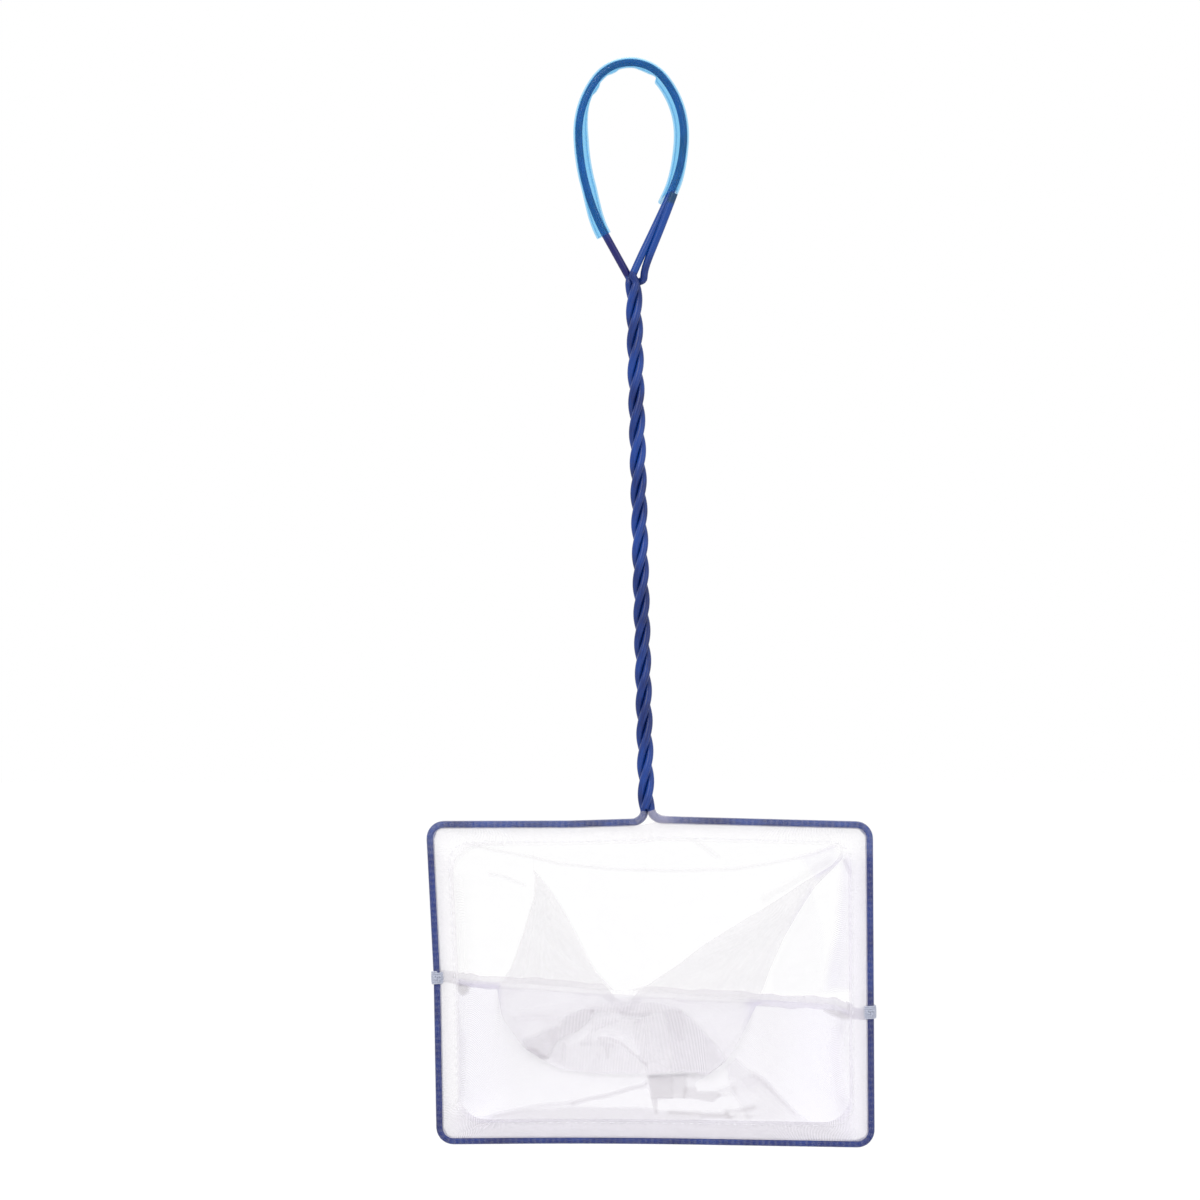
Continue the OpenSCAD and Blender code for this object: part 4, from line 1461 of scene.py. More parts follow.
    @staticmethod
    def tube(path: Array, thick: float) -> Skin:
        """A round thread along any path, its sides set square to the direction from the path's middle.

        Args:
            path: The thread's centreline.
            thick: Its diameter.

        Returns:
            A round skin with closed ends.
        """
        way = unit(np.gradient(path, axis=0))
        guess = unit(np.cross(way, unit(path - path.mean(0) + 1e-3)))
        beside = np.cross(way, guess)
        angles = turns(THREAD_SIDES)
        ring = guess[:, None] * np.cos(angles)[:, None] + beside[:, None] * np.sin(angles)[:, None]
        return Skin(path[:, None] + ring * thick / 2, round_columns=True, capped=True)

    def build(self, mesh: Material, thread: Material, stitch: Material) -> None:
        """Makes the casing, its stitches and the lashings.

        Args:
            mesh: Material of the mesh strip.
            thread: Material of the lashings, grey with use.
            stitch: Material of the stitches.
        """
        wire = self.wire
        cloth = make_piece("hoop_casing", [self.wrap(), self.band()], wire.neck, CLOTH_SHARP)
        dress(cloth, mesh, "mouth_casing")
        rows = make_piece("casing_thread", [self.stitch_rows()], wire.neck)
        dress(rows, stitch, "casing_stitches")
        for name, place, way, count in (
            ("left", wire.left_lash, unit(wire.top_left - wire.bottom_left), self.turns_left),
            ("right", wire.right_lash, unit(wire.top_right - wire.bottom_right), self.turns_right),
        ):
            piece = make_piece(f"{name}_lashing_thread", self.lashing(place, way, count), wire.neck)
            dress(piece, thread, f"{name}_lashing")


@dataclass(frozen=True)
class Pleat:
    """A fold that opens from a point in the cloth down to the seam.

    At each level, from 0 at the mouth to 1 at the seam, the cloth runs on to far, turns back to near behind
    itself, and runs on again.
    """

    levels: tuple[float, ...]
    near: tuple[float, ...]
    far: tuple[float, ...]
    spread: float = 2.2
    full_width: float = 14.0
    soft: float = 0.8
    least: float = 0.3

    def edges(self, level: Array) -> tuple[Array, Array]:
        """The x of the near and the far edge at each level."""
        return np.interp(level, self.levels, self.near), np.interp(level, self.levels, self.far)

    def depth(self, level: Array) -> Array:
        """Half the distance between the outer layers: the spread, eased in with the pleat's width."""
        near, far = self.edges(level)
        return self.spread * smooth((far - near) / self.full_width)

    def share(self, x: Array, level: Array) -> Array:
        """How far places lie inside the pleat.

        Args:
            x: Places across.
            level: Their levels.

        Returns:
            From 0 outside to 1 inside, with soft edges, and 0 where the pleat is closed.
        """
        near, far = self.edges(level)
        rise, fall = smooth((x - near) / self.soft + 0.5), smooth((far - x) / self.soft + 0.5)
        return rise * fall * (far - near > self.least)


@dataclass(frozen=True)
class Fold:
    """One fold of slack cloth, drawn as it is seen from the front.

    The line gives the x and z of each corner in turn. An outline of three or more corners is filled, and a
    run is followed at a width. The cloth inside is pushed towards the mouth, bunched and darkened by painted
    shade, which lightens it as a painted highlight where the shade is below zero; soft is the width over
    which the fold fades at its edge.
    """

    line: tuple[float, ...]
    gather: float = 0.0
    shade: float = 0.0
    push: float = 0.0
    soft: float = 0.8
    width: float = 0.0
    cool: float = 0.0

    def share(self, seen: Array) -> Array:
        """How far each place lies inside the fold, from 0 to 1.

        Args:
            seen: Places as seen from the front, (..., 2).

        Returns:
            For a run, e to the minus square of the distance over the width. For an outline, the distance
            to its edge over the soft width, positive where a level ray crosses the edge an odd number of times.
        """
        line = np.array(self.line, float).reshape(-1, 2)
        if self.width > 0.0:
            return np.exp(-((distance(seen, line[:-1], line[1:]) / self.width) ** 2))
        a, b = line, np.roll(line, -1, axis=0)
        x, z = seen[..., 0, None], seen[..., 1, None]
        spans = (a[:, 1] > z) != (b[:, 1] > z)
        level = np.where(a[:, 1] == b[:, 1], 1e-9, b[:, 1] - a[:, 1])
        cuts = spans & (x < (b[:, 0] - a[:, 0]) * (z - a[:, 1]) / level + a[:, 0])
        away = distance(seen, a, b)
        return smooth(np.where(cuts.sum(-1) % 2 == 1, away, -away) / self.soft + 0.5)


UPPER_FOLDS = (
    Fold((-62, -12, -53, -14, -40, -16.5, -30, -18.8, -10, -20.8, 10, -21.3, 30, -20.7, 45, -18.3, 57, -15.5, 64,
          -13), 1.62, -0.03, 0.4, width=0.55),
    Fold((-53, -22.5, -48, -23.5, -42, -26), 1.14, 0.06, 0.2, width=0.6),
    Fold((12, -8, 18, -12, 24, -16.5), 1.0, 0.07, 0.2, width=0.8),
    Fold((-67, -24, -65, -18, -61.5, -14, -56, -12, -49, -12), 1.19, 0.02, 0.2, width=0.9),
    Fold((-60, -9.5, -54, -10, -47, -9.2), 1.63, 0.6, 0.1, width=0.6),
    Fold((56, -25, 50.5, -34, 45, -43, 42, -50), 0.21, -0.06, 0.0, width=1.0),
    Fold((62.5, -18, 52, -24, 40, -31), 0.62, 0.29, 0.0, width=1.4),
    Fold((-69, -22, -70, -40, -68.5, -57), 1.86, 0.64, 0.0, width=0.8),
    Fold((-63.5, -25, -63, -40, -62.5, -56), 0.41, 0.2, 0.0, width=3.5),
    Fold((-66, -24, -65.5, -40, -65, -57), 0.86, 0.0, 0.0, width=2.0),
    Fold((67.5, -18, 71, -25, 73, -36, 73.4, -60), 1.67, 0.36, 0.0, width=0.8, cool=0.5),
    Fold((66.5, -16, 65.5, -30, 64.5, -42, 62, -52, 60.5, -62, 76, -62, 76, -16), 1.35, 0.09, 0.2, soft=4.0,
          cool=0.9),
    Fold((42.5, -56, 43, -62.5, 59.5, -63.5, 60.5, -42, 56, -27, 50, -37), 0.25, 0.11, 0.0, soft=2.0, cool=0.4),
    Fold((52, -17, 64, -12, 66, -19, 58, -24), 0.65, -0.08, 0.2, soft=3.0, cool=0.6),
)

POCKET_FOLDS = (
    Fold((-42.2, -79, -36.5, -77, -33.5, -74.8, -30, -73.8, -29.3, -78.5, -31.5, -81, -33.5, -84.9, -36.5, -85.2,
          -40.5, -82.6), 1.44, 0.35, 1.2, soft=1.0),
    Fold((-39.6, -82, -37.6, -82.4, -36, -84, -34.4, -84.6), 1.29, 0.46, 0.3, width=0.7),
    Fold((-33.8, -75.6, -30.2, -74.5, -29.8, -78.8, -32.8, -80), 0.34, 0.09, 0.2, soft=1.2),
    Fold((-29.8, -73.4, -28, -70.9, -25, -69.6, -21, -68.2, -17.5, -68.4, -18.8, -71.2, -20.6, -73.6, -23, -75.6,
          -26.5, -77.4, -29.2, -78.4), 1.54, 0.41, 0.9, soft=1.0),
    Fold((-18.5, -69, -14, -68.8, -10, -69.3, -6, -70, -3, -70.2, 0.5, -69.8), 1.26, 0.28, 0.5, width=0.8),
    Fold((-9.5, -67.8, -5, -66.4, 0, -66, 5, -66.3, 8.5, -67.4, 12, -68.4, 12.3, -69.4, 6.5, -69.4, 4, -69.8, -4,
          -71.2, -9, -70), 1.2, 0.3, 0.6, soft=1.0),
    Fold((-22, -69, -18, -66.4, -9.5, -65.8, -9, -69), 0.76, 0.18, 0.2, soft=1.4),
    Fold((6.5, -69, 9.5, -68.7, 12.4, -69, 13, -73, 12.2, -78.2, 10.3, -78.5, 8.2, -75.5, 6.8, -72), 0.54, 0.12, 0.6,
          soft=1.4),
    Fold((6.3, -69.3, 12, -69, 15.5, -71.6, 20.5, -77.2, 25.5, -82.6, 27, -85.9, 24.2, -88.4, 20.5, -91.4, 17, -90.2,
          8.6, -90.4, 8.4, -81, 7.6, -75), 1.24, 0.3, 1.6, soft=1.0, cool=0.25),
    Fold((-4, -72.5, -2, -71.4, 6.5, -69.8, 7.6, -75, 8.4, -81, 8.7, -91.2, 0.3, -91.6, -0.6, -87, -3.2, -83.5, -4.6,
          -79), 0.95, 0.24, 0.7, soft=1.0, cool=0.15),
    Fold((-2.5, -84.8, 0, -86, 4, -86.7, 7, -88.6, 18, -89, 22, -90, 20, -92.5, 0.3, -92, -0.8, -88), 0.45, -0.06,
          0.4, soft=1.2),
    Fold((-16.5, -78, -12, -78.5, -9, -79.8, -6.3, -81.8, -4.2, -83.8, -2, -85.6, -0.4, -87), 1.44, 0.45, 0.2,
          width=0.7),
    Fold((-20.2, -78, -18.5, -75.8, -15, -74.2, -11, -72.8, -6, -72.4, -2.5, -72.7), 0.98, 0.27, 0.4, width=0.9),
    Fold((-19, -70.8, -12, -70.5, -9, -71, -10.5, -72.6, -15, -74.2, -19, -75), 0.66, 0.16, 0.2, soft=1.0),
    Fold((-26, -77.8, -23.5, -75.8, -20, -74.6, -19.5, -76, -20.7, -78.4, -24, -79, -25.5, -80.3), -0.15, -0.22, -0.2,
          soft=0.8),
    Fold((-17.5, -77.8, -15.5, -76.3, -12, -76.2, -8, -77.3, -5.5, -79, -4.3, -81.2, -3.3, -83.2), -0.73, -0.35, 0.5,
          width=0.8),
    Fold((-12.5, -75.8, -10, -73.6, -4.5, -73.4, -4, -77.5, -7, -76.5), 0.36, 0.11, 0.1, soft=1.0),
    Fold((-29, -80, -18, -79.8, -11, -80.4, -6.5, -83, -2, -87.5, -1.5, -90.3, -20, -90.3, -27.5, -88.5), 0.59, 0.18,
          0.2, soft=1.4),
    Fold((-13.4, -82, -13.2, -84.5), 0.72, 0.3, 0.2, width=0.8),
    Fold((-16.4, -82.6, -16.1, -85), 0.48, 0.17, 0.2, width=0.7),
    Fold((-22, -79.8, -16, -79.6, -11, -80.6), 0.83, 0.32, 0.1, width=1.1),
    Fold((-43.5, -70.8, -38, -70.6, -30.5, -71.2), 0.83, 0.18, 0.3, width=1.0),
    Fold((-43, -73, -37, -72.4, -35.5, -74, -38, -76, -41.5, -76.5), -0.21, -0.27, 0.1, soft=1.2),
    Fold((-34, -84.5, -31, -80.8, -27.5, -79, -27.5, -87.8, -30.5, -87), 0.81, 0.26, 0.1, soft=1.4),
    Fold((-33.5, -85.6, -30, -87.4, -26, -89.3, -20, -90.2, -4, -90.3), 0.4, -0.02, 0.2, width=0.9),
    Fold((-48, -63.4, -44, -62.4, -30, -62.2, -18, -63, -18, -64.8, -28, -65.8, -34, -67.6, -40, -69.2, -48, -69.4),
          -0.68, -0.32, 0.2, soft=1.4),
    Fold((14.5, -67.5, 35.5, -68, 31.5, -76.5, 27.5, -79.5, 20, -74, 15.5, -70), -0.42, -0.21, 0.1, soft=1.4),
    Fold((22.5, -89.6, 26.3, -86.2, 25, -82.5), 0.11, -0.14, 0.2, width=1.2),
)

FLOOR_FOLDS = (
    Fold((0.3, -90.9, 0.9, -93, 1.3, -96, 1.6, -98.7, 8.7, -98.6, 8.8, -90.6), 2.05, 0.46, 1.2, soft=0.8),
    Fold((8.6, -90.4, 8.6, -98.5, 13, -98.6, 13.8, -95.5, 13.4, -92, 14, -90.3), 1.52, 0.38, 1.0, soft=0.8),
    Fold((13, -94.8, 16.6, -95, 17.2, -96.3, 24, -96.4, 25.5, -97.6, 22.6, -99.9, 20, -99.6, 17, -98.9, 12.5, -98.6),
          1.21, 0.38, 0.6, soft=0.8),
    Fold((14, -89.9, 21.5, -89.9, 19.5, -91.6, 17, -93, 16.4, -95, 13.4, -94.5), 0.64, 0.12, 0.5, soft=0.8),
    Fold((24, -95.6, 30, -94, 31, -97.8, 24, -98.3), 0.49, 0.18, 0.2, soft=1.4),
    Fold((17.2, -94.8, 18, -93.2, 20.2, -92, 24, -89.8, 26.3, -87.6, 28, -90.5, 30, -92.5, 29.5, -94, 25, -95.5, 19,
          -96), -0.25, -0.08, -0.6, soft=1.0),
    Fold((1.8, -98.6, 2, -100.5, 2.5, -102.5, 2.9, -104, 3.6, -104, 3.7, -101, 3.9, -98.6), 1.44, 0.42, 0.5,
          soft=0.7),
    Fold((-25, -100.3, -20, -99, -14, -97.9, -8, -96.2, -5, -95.3, -1.5, -94.6, 0.2, -93.5), 1.67, 0.38, 0.5,
          width=0.6),
    Fold((-1.2, -90.6, -0.5, -93, 0.1, -96), 0.14, -0.13, 0.2, width=1.1),
    Fold((-52, -104.6, -44, -102.8, -36, -101.3, -26, -100.4), 1.01, 0.2, 0.4, width=0.8),
    Fold((-60, -105.6, -40, -102.6, -24, -101.6, 0, -101.9, 2.5, -102.6, 10, -103.2, 20, -104, 27, -103.9, 30.5,
          -104.9, 24, -106, 18, -109, -60, -109), 1.34, 0.26, 0.6, soft=1.2, cool=0.3),
    Fold((8, -103.4, 18, -103.7), 0.96, 0.39, 0.2, width=0.7),
    Fold((19.5, -104.4, 27, -104.4), 1.11, 0.28, 0.2, width=1.1),
    Fold((27, -103.1, 30, -103.2, 33, -102.8, 36.5, -101.7), 1.12, 0.35, 0.2, width=0.8),
    Fold((27.5, -104, 29.3, -106.4), 0.87, 0.25, 0.2, width=0.7),
    Fold((27.5, -104.8, 31, -103.9, 37, -104.5, 34, -106.8, 25, -106.6), 0.63, 0.26, 0.1, soft=0.8),
    Fold((-54, -106.3, -42, -107, -28, -108.2), 0.16, -0.5, 0.2, width=0.8),
    Fold((28, -86.8, 30.5, -85.3, 34, -88.3, 38.3, -90.3, 41.5, -93, 46, -98.5, 50, -103, 58, -108, 36, -108, 33,
          -103.5, 30, -98, 27.3, -91.5), 0.66, 0.17, 0.5, soft=1.4, cool=0.5),
    Fold((31.3, -91.8, 36.5, -90.6, 38.8, -92.3, 37, -94.8, 33.8, -95), 0.4, 0.02, 0.4, soft=1.2, cool=0.4),
    Fold((36.5, -91.2, 38.5, -92.2, 41, -94.6, 44.5, -98.1, 50, -103.3), 0.82, 0.18, 0.3, width=0.9, cool=0.3),
    Fold((30.5, -96.5, 34, -95.6, 37.8, -97.5, 38.6, -99, 35, -100.8, 31, -101), -0.18, -0.07, 0.1, soft=1.0,
          cool=0.3),
    Fold((-70, -104, -62, -106, -50, -108.5), 0.13, -0.42, 0.2, width=1.4, cool=0.3),
    Fold((20, -106.8, 40, -107.6, 70, -108.6), -0.22, -0.71, 0.2, width=1.2, cool=0.3),
    Fold((-66, -66, -63, -80, -63, -95, -66, -103), 0.63, 0.23, 0.0, width=1.8),
    Fold((66, -73, 64, -82, 65, -95, 68, -104), 0.72, 0.15, 0.0, width=2.2, cool=0.4),
    Fold((-69, -58.6, -66, -58, -60, -59.5, -60.5, -62.5, -62.5, -63.9, -64.5, -62, -68.5, -60.6), 1.6, 0.8, 0.2,
          soft=1.0),
    Fold((60.3, -66.5, 63, -67.6, 68, -68, 72, -68, 72, -72, 67, -71.8, 63.5, -70.6, 60.3, -69), 1.77, 0.61, 0.2,
          soft=1.0, cool=0.4),
)


@dataclass
class Bag:
    """The mesh bag: an upper and a lower panel that meet in a seam round the toe, slack enough to pleat.

    What hangs loose is drawn as it is seen from eye, where the photograph was taken: the pocket by its
    outline, and the folds by their tables.
    """

    casing: Casing
    depth: float = 52.0
    start_y: float = 0.5
    rim: float = 6.2
    toe_r: float = 10.0
    toe_share: float = 0.75
    side_lean: float = 3.4
    belly_up: float = 4.0
    belly_down: float = 5.0
    rim_top: tuple[float, float] = (-60.0, 62.0)
    rim_bottom: tuple[float, float] = (-58.0, 62.0)
    seam_x: float = -66.0
    seam_span: float = 134.0
    toe_z: float = -61.7
    toe_fall: float = 8.8
    seam_w: float = 4.4
    seam_lift: float = 0.55
    thread_lift: float = 0.66
    thread: float = 0.3
    dip: float = 6.0
    dip_x: float = -7.3
    dip_r: float = 5.4
    dip_back: Fade = Fade(40.0, 48.0)
    seam_feet: tuple[tuple[float, float], ...] = ((0.6, 2.3), (3.2, 2.6))
    seam_columns: int = 60
    seam_cut: int = 6
    seam_spacing: float = 0.6
    seam_rounds: int = 12
    seam_layers: float = 0.55
    seam_pucker: float = 0.48
    front_half: Fade = Fade(61.5, 59.5)
    floor_half: Fade = Fade(60.0, 42.0)
    wall_columns: int = 34
    upper_rows: int = 110
    upper_columns: tuple[int, ...] = (64, 64, 120, 80, 130)
    toe_columns: int = 240
    fall_rows: int = 56
    turn_rows: int = 44
    floor_rows: int = 80
    pocket_tries: int = 160
    no_pocket: float = 0.985
    pocket_end: float = 42.5
    pocket_start: Fade = Fade(-52.6, -49.6)
    pocket_spread: float = 2.4
    slack_lean: float = 0.4
    fan: tuple[float, float] = (-8.0, -72.0)
    fan_reach: float = 40.0
    fan_waves: tuple[tuple[float, float, float], ...] = ((0.55, 7.0, 0.6), (0.35, 13.0, 2.0), (0.2, 23.0, 4.0))
    eye: tuple[float, float, float] = (-15.8, -2000.0, 70.7)
    left_pleat: Pleat = Pleat(
        levels=(0.24, 0.30, 0.439, 0.616, 0.685, 0.847, 0.914, 1.0),
        near=(-38.6, -38.2, -38.6, -41.4, -42.6, -45.8, -47.4, -50.6),
        far=(-38.5, -36.4, -31.6, -26.2, -24.2, -19.3, -16.8, -10.6))
    right_pleat: Pleat = Pleat(
        levels=(0.10, 0.30, 0.407, 0.492, 0.644, 0.745, 0.842, 0.966, 1.0),
        near=(66.8, 52.4, 45.2, 39.3, 27.0, 18.9, 11.8, 0.6, -6.6),
        far=(66.9, 58.0, 54.6, 52.2, 48.2, 45.8, 43.3, 40.8, 40.0))
    pocket: tuple[tuple[float, float], ...] = (
        (-51.0, -63.5), (-49.5, -71.0), (-45.5, -76.5), (-42.0, -81.5), (-35.5, -85.6), (-30.0, -88.8), (-26.0, -89.8),
        (-18.0, -90.5), (-4.0, -90.5), (0.0, -91.2), (4.0, -90.6), (9.0, -89.7), (17.0, -89.8), (20.5, -91.0),
        (24.2, -88.4), (26.8, -86.3), (29.0, -83.8), (31.0, -80.2), (33.5, -75.0), (37.0, -67.5), (41.0, -64.5))

    def __post_init__(self) -> None:
        """Takes the rim's outline from the casing and the seam's heights from the lashings."""
        wire = self.casing.wire
        outline = self.casing.edge(self.rim)
        x, z = outline[:, 0], outline[:, 1]
        (top_left, top_right), (bottom_left, bottom_right) = self.rim_top, self.rim_bottom
        self.top_z = float(np.interp(top_left, *self.sorted_run(outline[z > -20.0])))
        self.left_side = self.sorted_run(outline[x < -50.0][:, ::-1])
        self.right_side = self.sorted_run(outline[x > 50.0][:, ::-1])
        self.top_side = self.sorted_run(outline[(z > -60.0) & (x > top_left) & (x < top_right)])
        self.bottom_side = self.sorted_run(outline[(z < -60.0) & (x > bottom_left) & (x < bottom_right)])
        self.seam_left, self.seam_right = float(wire.left_lash[1]), float(wire.right_lash[1])
        self.end_left, self.end_right = self.sides(self.seam_left)[0], self.sides(self.seam_right)[1]

    @staticmethod
    def sorted_run(points: Array) -> tuple[Array, Array]:
        """Two columns of a run, sorted by the first, ready to look up one from the other."""
        order = np.argsort(points[:, 0])
        return points[order, 0], points[order, 1]

    def seen(self, x: Array, y: Array, z: Array) -> Array:
        """Where places are seen from the front: along straight lines to the eye, on the hoop's plane."""
        share = self.eye[1] / (self.eye[1] - y)
        return np.stack([self.eye[0] + (x - self.eye[0]) * share, self.eye[2] + (z - self.eye[2]) * share], axis=-1)

    def seam_z(self, x: Array, y: Array) -> Array:
        """The seam's height: level with the lashings at the mouth, lower on the left towards the toe.

        Args:
            x: Places across.
            y: How far back they lie.

        Returns:
            The height of each place.
        """
        across, back = (x - self.seam_x) / self.seam_span, y / self.depth
        mouth = self.seam_left + (self.seam_right - self.seam_left) * across
        return mouth * (1 - back) + (self.toe_z - self.toe_fall * across) * back

    def sides(self, z: Array) -> tuple[Array, Array]:
        """The x of the rim's left and right side at each height."""
        return np.interp(z, *self.left_side), np.interp(z, *self.right_side)

    def plan(self, share: Array, level: Array, rim: Array, sign: float) -> list[Array]:
        """Places on one side wall, from the rim back and round the toe's corner.

        Args:
            share: From 0 at the rim to 1 where the toe's straight begins.
            level: From 0 at the mouth to 1 at the seam.
            rim: The rim's side at that level.
            sign: -1 on the left and 1 on the right.

        Returns:
            The x and y of each place: a straight back from the rim, then a quarter circle.
        """
        y_end = self.start_y + (self.depth - self.start_y) * level
        radius = np.minimum(self.toe_r, self.toe_share * (y_end - self.start_y))
        straight = y_end - self.start_y - radius
        gone = share * (straight + radius * np.pi / 2)
        angle = np.clip((gone - straight) / np.maximum(radius, 1e-6), 0.0, np.pi / 2)
        y = self.start_y + np.minimum(gone, straight) + radius * np.sin(angle)
        inward = radius * (1 - np.cos(angle)) + self.side_lean * (y - self.start_y) / self.depth
        return [rim - sign * inward, y]

    def walls(self, columns: int, levels: tuple[Array, Array], rims: tuple[Array, Array]) -> list[Array]:
        """The x and y of the left side wall, from the rim back, and of the right one, from the toe forward."""
        share = shares(columns)[None, :]
        return self.plan(share, levels[0], rims[0], -1.0) + self.plan(share[:, ::-1], levels[1], rims[1], 1.0)

    def wrinkles(self, x: Array, z: Array, level: Array) -> Array:
        """Slack in the cloth.

        Args:
            x: Places across.
            z: Their heights.
            level: From 0 at the mouth to 1 at the seam.

        Returns:
            How far each place stands off: long shallow waves that fan out from the lower middle, each with
            its height, its count round a turn and its phase, and waves that cross them.
        """
        angle, away = np.arctan2(z - self.fan[1], x - self.fan[0]), np.hypot(x - self.fan[0], z - self.fan[1])
        fan = sum(height * np.sin(count * angle + phase) for height, count, phase in self.fan_waves)
        crossing = 0.3 * np.sin(x * 0.21 + 1.0) * np.sin(z * 0.17 + 0.4)
        return (fan * smooth(away / self.fan_reach) + crossing) * np.sin(np.pi * np.clip(level, 0, 1)) ** 0.7

    def folded(self, points: Array, marks: dict[str, Array], folds: tuple[Fold, ...],
               layer: Array | float = 1.0) -> None:
        """Adds folds to a panel: it is pushed towards the mouth inside each, bunched, shaded and tinted.

        Args:
            points: The panel's grid, changed in place.
            marks: Its marks, changed in place.
            folds: The folds.
            layer: How far each place takes part, from 0 to 1.
        """
        seen = self.seen(points[..., 0], points[..., 1], points[..., 2])
        for fold in folds:
            share = fold.share(seen) * layer
            points[..., 1] -= fold.push * share
            marks["gather"] = marks["gather"] + fold.gather * share
            marks["shade"] = marks["shade"] + fold.shade * share
            marks["cool"] = np.maximum(marks["cool"], fold.cool * share)

    def upper(self) -> Skin:
        """The upper panel, in two pleats.

        Returns:
            A skin whose rows go from the rim's left side back, across and forward to its right side. Row by
            row it drops from the mouth's top to the seam; across, it runs back and forth through the pleats,
            whose layers lie a spread apart.
        """
        t = shares(self.upper_rows)[:, None]
        z_left, z_right = (self.top_z * (1 - t) + seam * t for seam in (self.seam_left, self.seam_right))
        left, right = self.sides(z_left)[0], self.sides(z_right)[1]
        lx, ly, rx, ry = self.walls(self.wall_columns, (t, t), (left, right))
        folds, offs = [lx[:, -1:]], [0 * t]
        for pleat in (self.left_pleat, self.right_pleat):
            near, far = pleat.edges(t)
            folds += [far, near]
            offs += [-pleat.depth(t), pleat.depth(t)]
        folds.append(rx[:, :1])
        offs.append(0 * t)
        xs, ys = [lx], [ly]
        for k, count in enumerate(self.upper_columns):
            last, turning_back = k == len(self.upper_columns) - 1, k % 2 == 1
            f = (np.arange(count) + 1)[None, :] / (count + last)
            xs.append(folds[k] + (folds[k + 1] - folds[k]) * f)
            if turning_back:
                off = offs[k] + (offs[k + 1] - offs[k]) * f
            else:
                off = offs[k] * (1 - smooth(f / 0.45)) + offs[k + 1] * smooth((f - 0.55) / 0.45)
            ys.append(ly[:, -1:] + off)
        x, y = (softened(np.concatenate(parts, axis=1), 2, 1) for parts in (xs + [rx], ys + [ry]))
        rim_z = np.interp(np.clip(x, *self.rim_top), *self.top_side)
        across = np.clip((x - left) / (right - left), 0.0, 1.0)
        bulge = 4 * self.belly_up * t * (1 - t) * np.sin(np.pi * across) ** 0.6
        z = rim_z * (1 - t) + self.seam_z(x, np.minimum(y, self.depth)) * t + bulge
        slack = self.wrinkles(x, z, t * np.ones_like(x))
        points = np.stack([x, y + slack, z + self.slack_lean * slack], axis=-1)
        inside = np.maximum(self.left_pleat.share(x, t), self.right_pleat.share(x, t))
        marks = {"gather": 0.45 * inside - 0.55, "shade": 0.04 * inside, "cool": np.zeros_like(x)}
        self.folded(points, marks, UPPER_FOLDS)
        return Skin(points, self.cloth_map(x, y, z), marks=marks)

    def pocket_levels(self, x: Array) -> Array:
        """How far the lower panel's slack hangs down before it turns up again.

        Args:
            x: Places along the toe's straight, in one row.

        Returns:
            For each place, the level at which the panel is seen on the pocket's outline. Beside the pocket
            it is no_pocket, just short of the seam.
        """
        tries = shares(self.pocket_tries)[:, None]
        wide, tall = np.ones_like(x), np.ones_like(tries)
        y = (self.start_y + (self.depth - self.start_y) * tries) * wide
        looks = self.seen(x * tall, y, self.hang(x, tries * wide, self.end_left, self.end_right))
        goal = np.interp(looks[..., 0], *np.array(self.pocket).T)
        low = tries[np.argmin(np.abs(looks[..., 1] - goal), axis=0), 0][None, :]
        low = np.where(x < self.pocket_end, low, self.no_pocket)
        return self.no_pocket + (softened(low, 6, 1) - self.no_pocket) * self.pocket_start.at(x)

    def lower(self) -> Skin:
        """The lower panel, whose slack hangs in a pocket below the seam.

        Returns:
            A skin whose rows go from the seam down to the pocket's edge, up again behind it and on to the
            mouth's bottom, so that the pocket is three layers deep, a spread apart. Each column's edge lies
            where the pocket's outline is seen from the front.
        """
        g = shares(self.toe_columns)[None, :]
        inner = self.toe_r + self.side_lean
        low = self.pocket_levels(self.end_left + inner + (self.end_right - self.end_left - 2 * inner) * g)
        high = np.maximum(self.no_pocket, low)
        f = shares(self.fall_rows)[:, None]
        h = shares(self.turn_rows)[1:, None]
        k = shares(self.floor_rows)[1:, None]
        t = np.concatenate([1 + (low - 1) * f, low + (high - low) * h, high * (1 - k)])
        spread = self.pocket_spread * smooth((high - low) / 0.25)
        off = np.concatenate([spread * smooth(f / 0.8), spread * (1 - 2 * h), -spread * (1 - smooth(k / 0.8))])
        t_left, t_right = (end * np.ones((1, self.wall_columns)) for end in (t[:, :1], t[:, -1:]))
        left = self.sides(self.level_z(t_left, "left"))[0]
        right = self.sides(self.level_z(t_right, "right"))[1]
        lx, ly, rx, ry = self.walls(self.wall_columns, (t_left, t_right), (left, right))
        x_mid = lx[:, -1:] + (rx[:, :1] - lx[:, -1:]) * g
        y_mid = self.start_y + (self.depth - self.start_y) * t - off
        x = np.concatenate([lx, x_mid[:, 1:-1], rx], axis=1)
        y = np.concatenate([ly, y_mid[:, 1:-1], ry], axis=1)
        level = np.concatenate([t_left, t[:, 1:-1], t_right], axis=1)
        z = self.hang(x, level, left[:, :1], right[:, :1], y)
        x, y, z = (softened(a, 2, 0) for a in (x, y, z))
        slack = self.wrinkles(x, z, level)
        points = np.stack([x, y + slack, z - self.slack_lean * slack], axis=-1)
        rows = np.arange(len(t))[:, None]
        floor = rows > len(f) + len(h)
        front = (rows <= len(f)) * self.front_half.at(np.abs(x - self.casing.middle_x)) * (level < 0.999)
        none = np.zeros((1, self.wall_columns))
        deep = np.concatenate([none, spread[:, 1:-1] / self.pocket_spread, none], axis=1)
        middle = self.floor_half.at(np.abs(x)) * floor
        marks = {"gather": 0.8 - 0.5 * deep * ~floor + 0.15 * middle,
                 "shade": 0.15 + 0.03 * deep * front + 0.27 * middle,
                 "cool": 0.85 * (1 - 0.8 * deep * ~floor) * (1 - 0.3 * middle)}
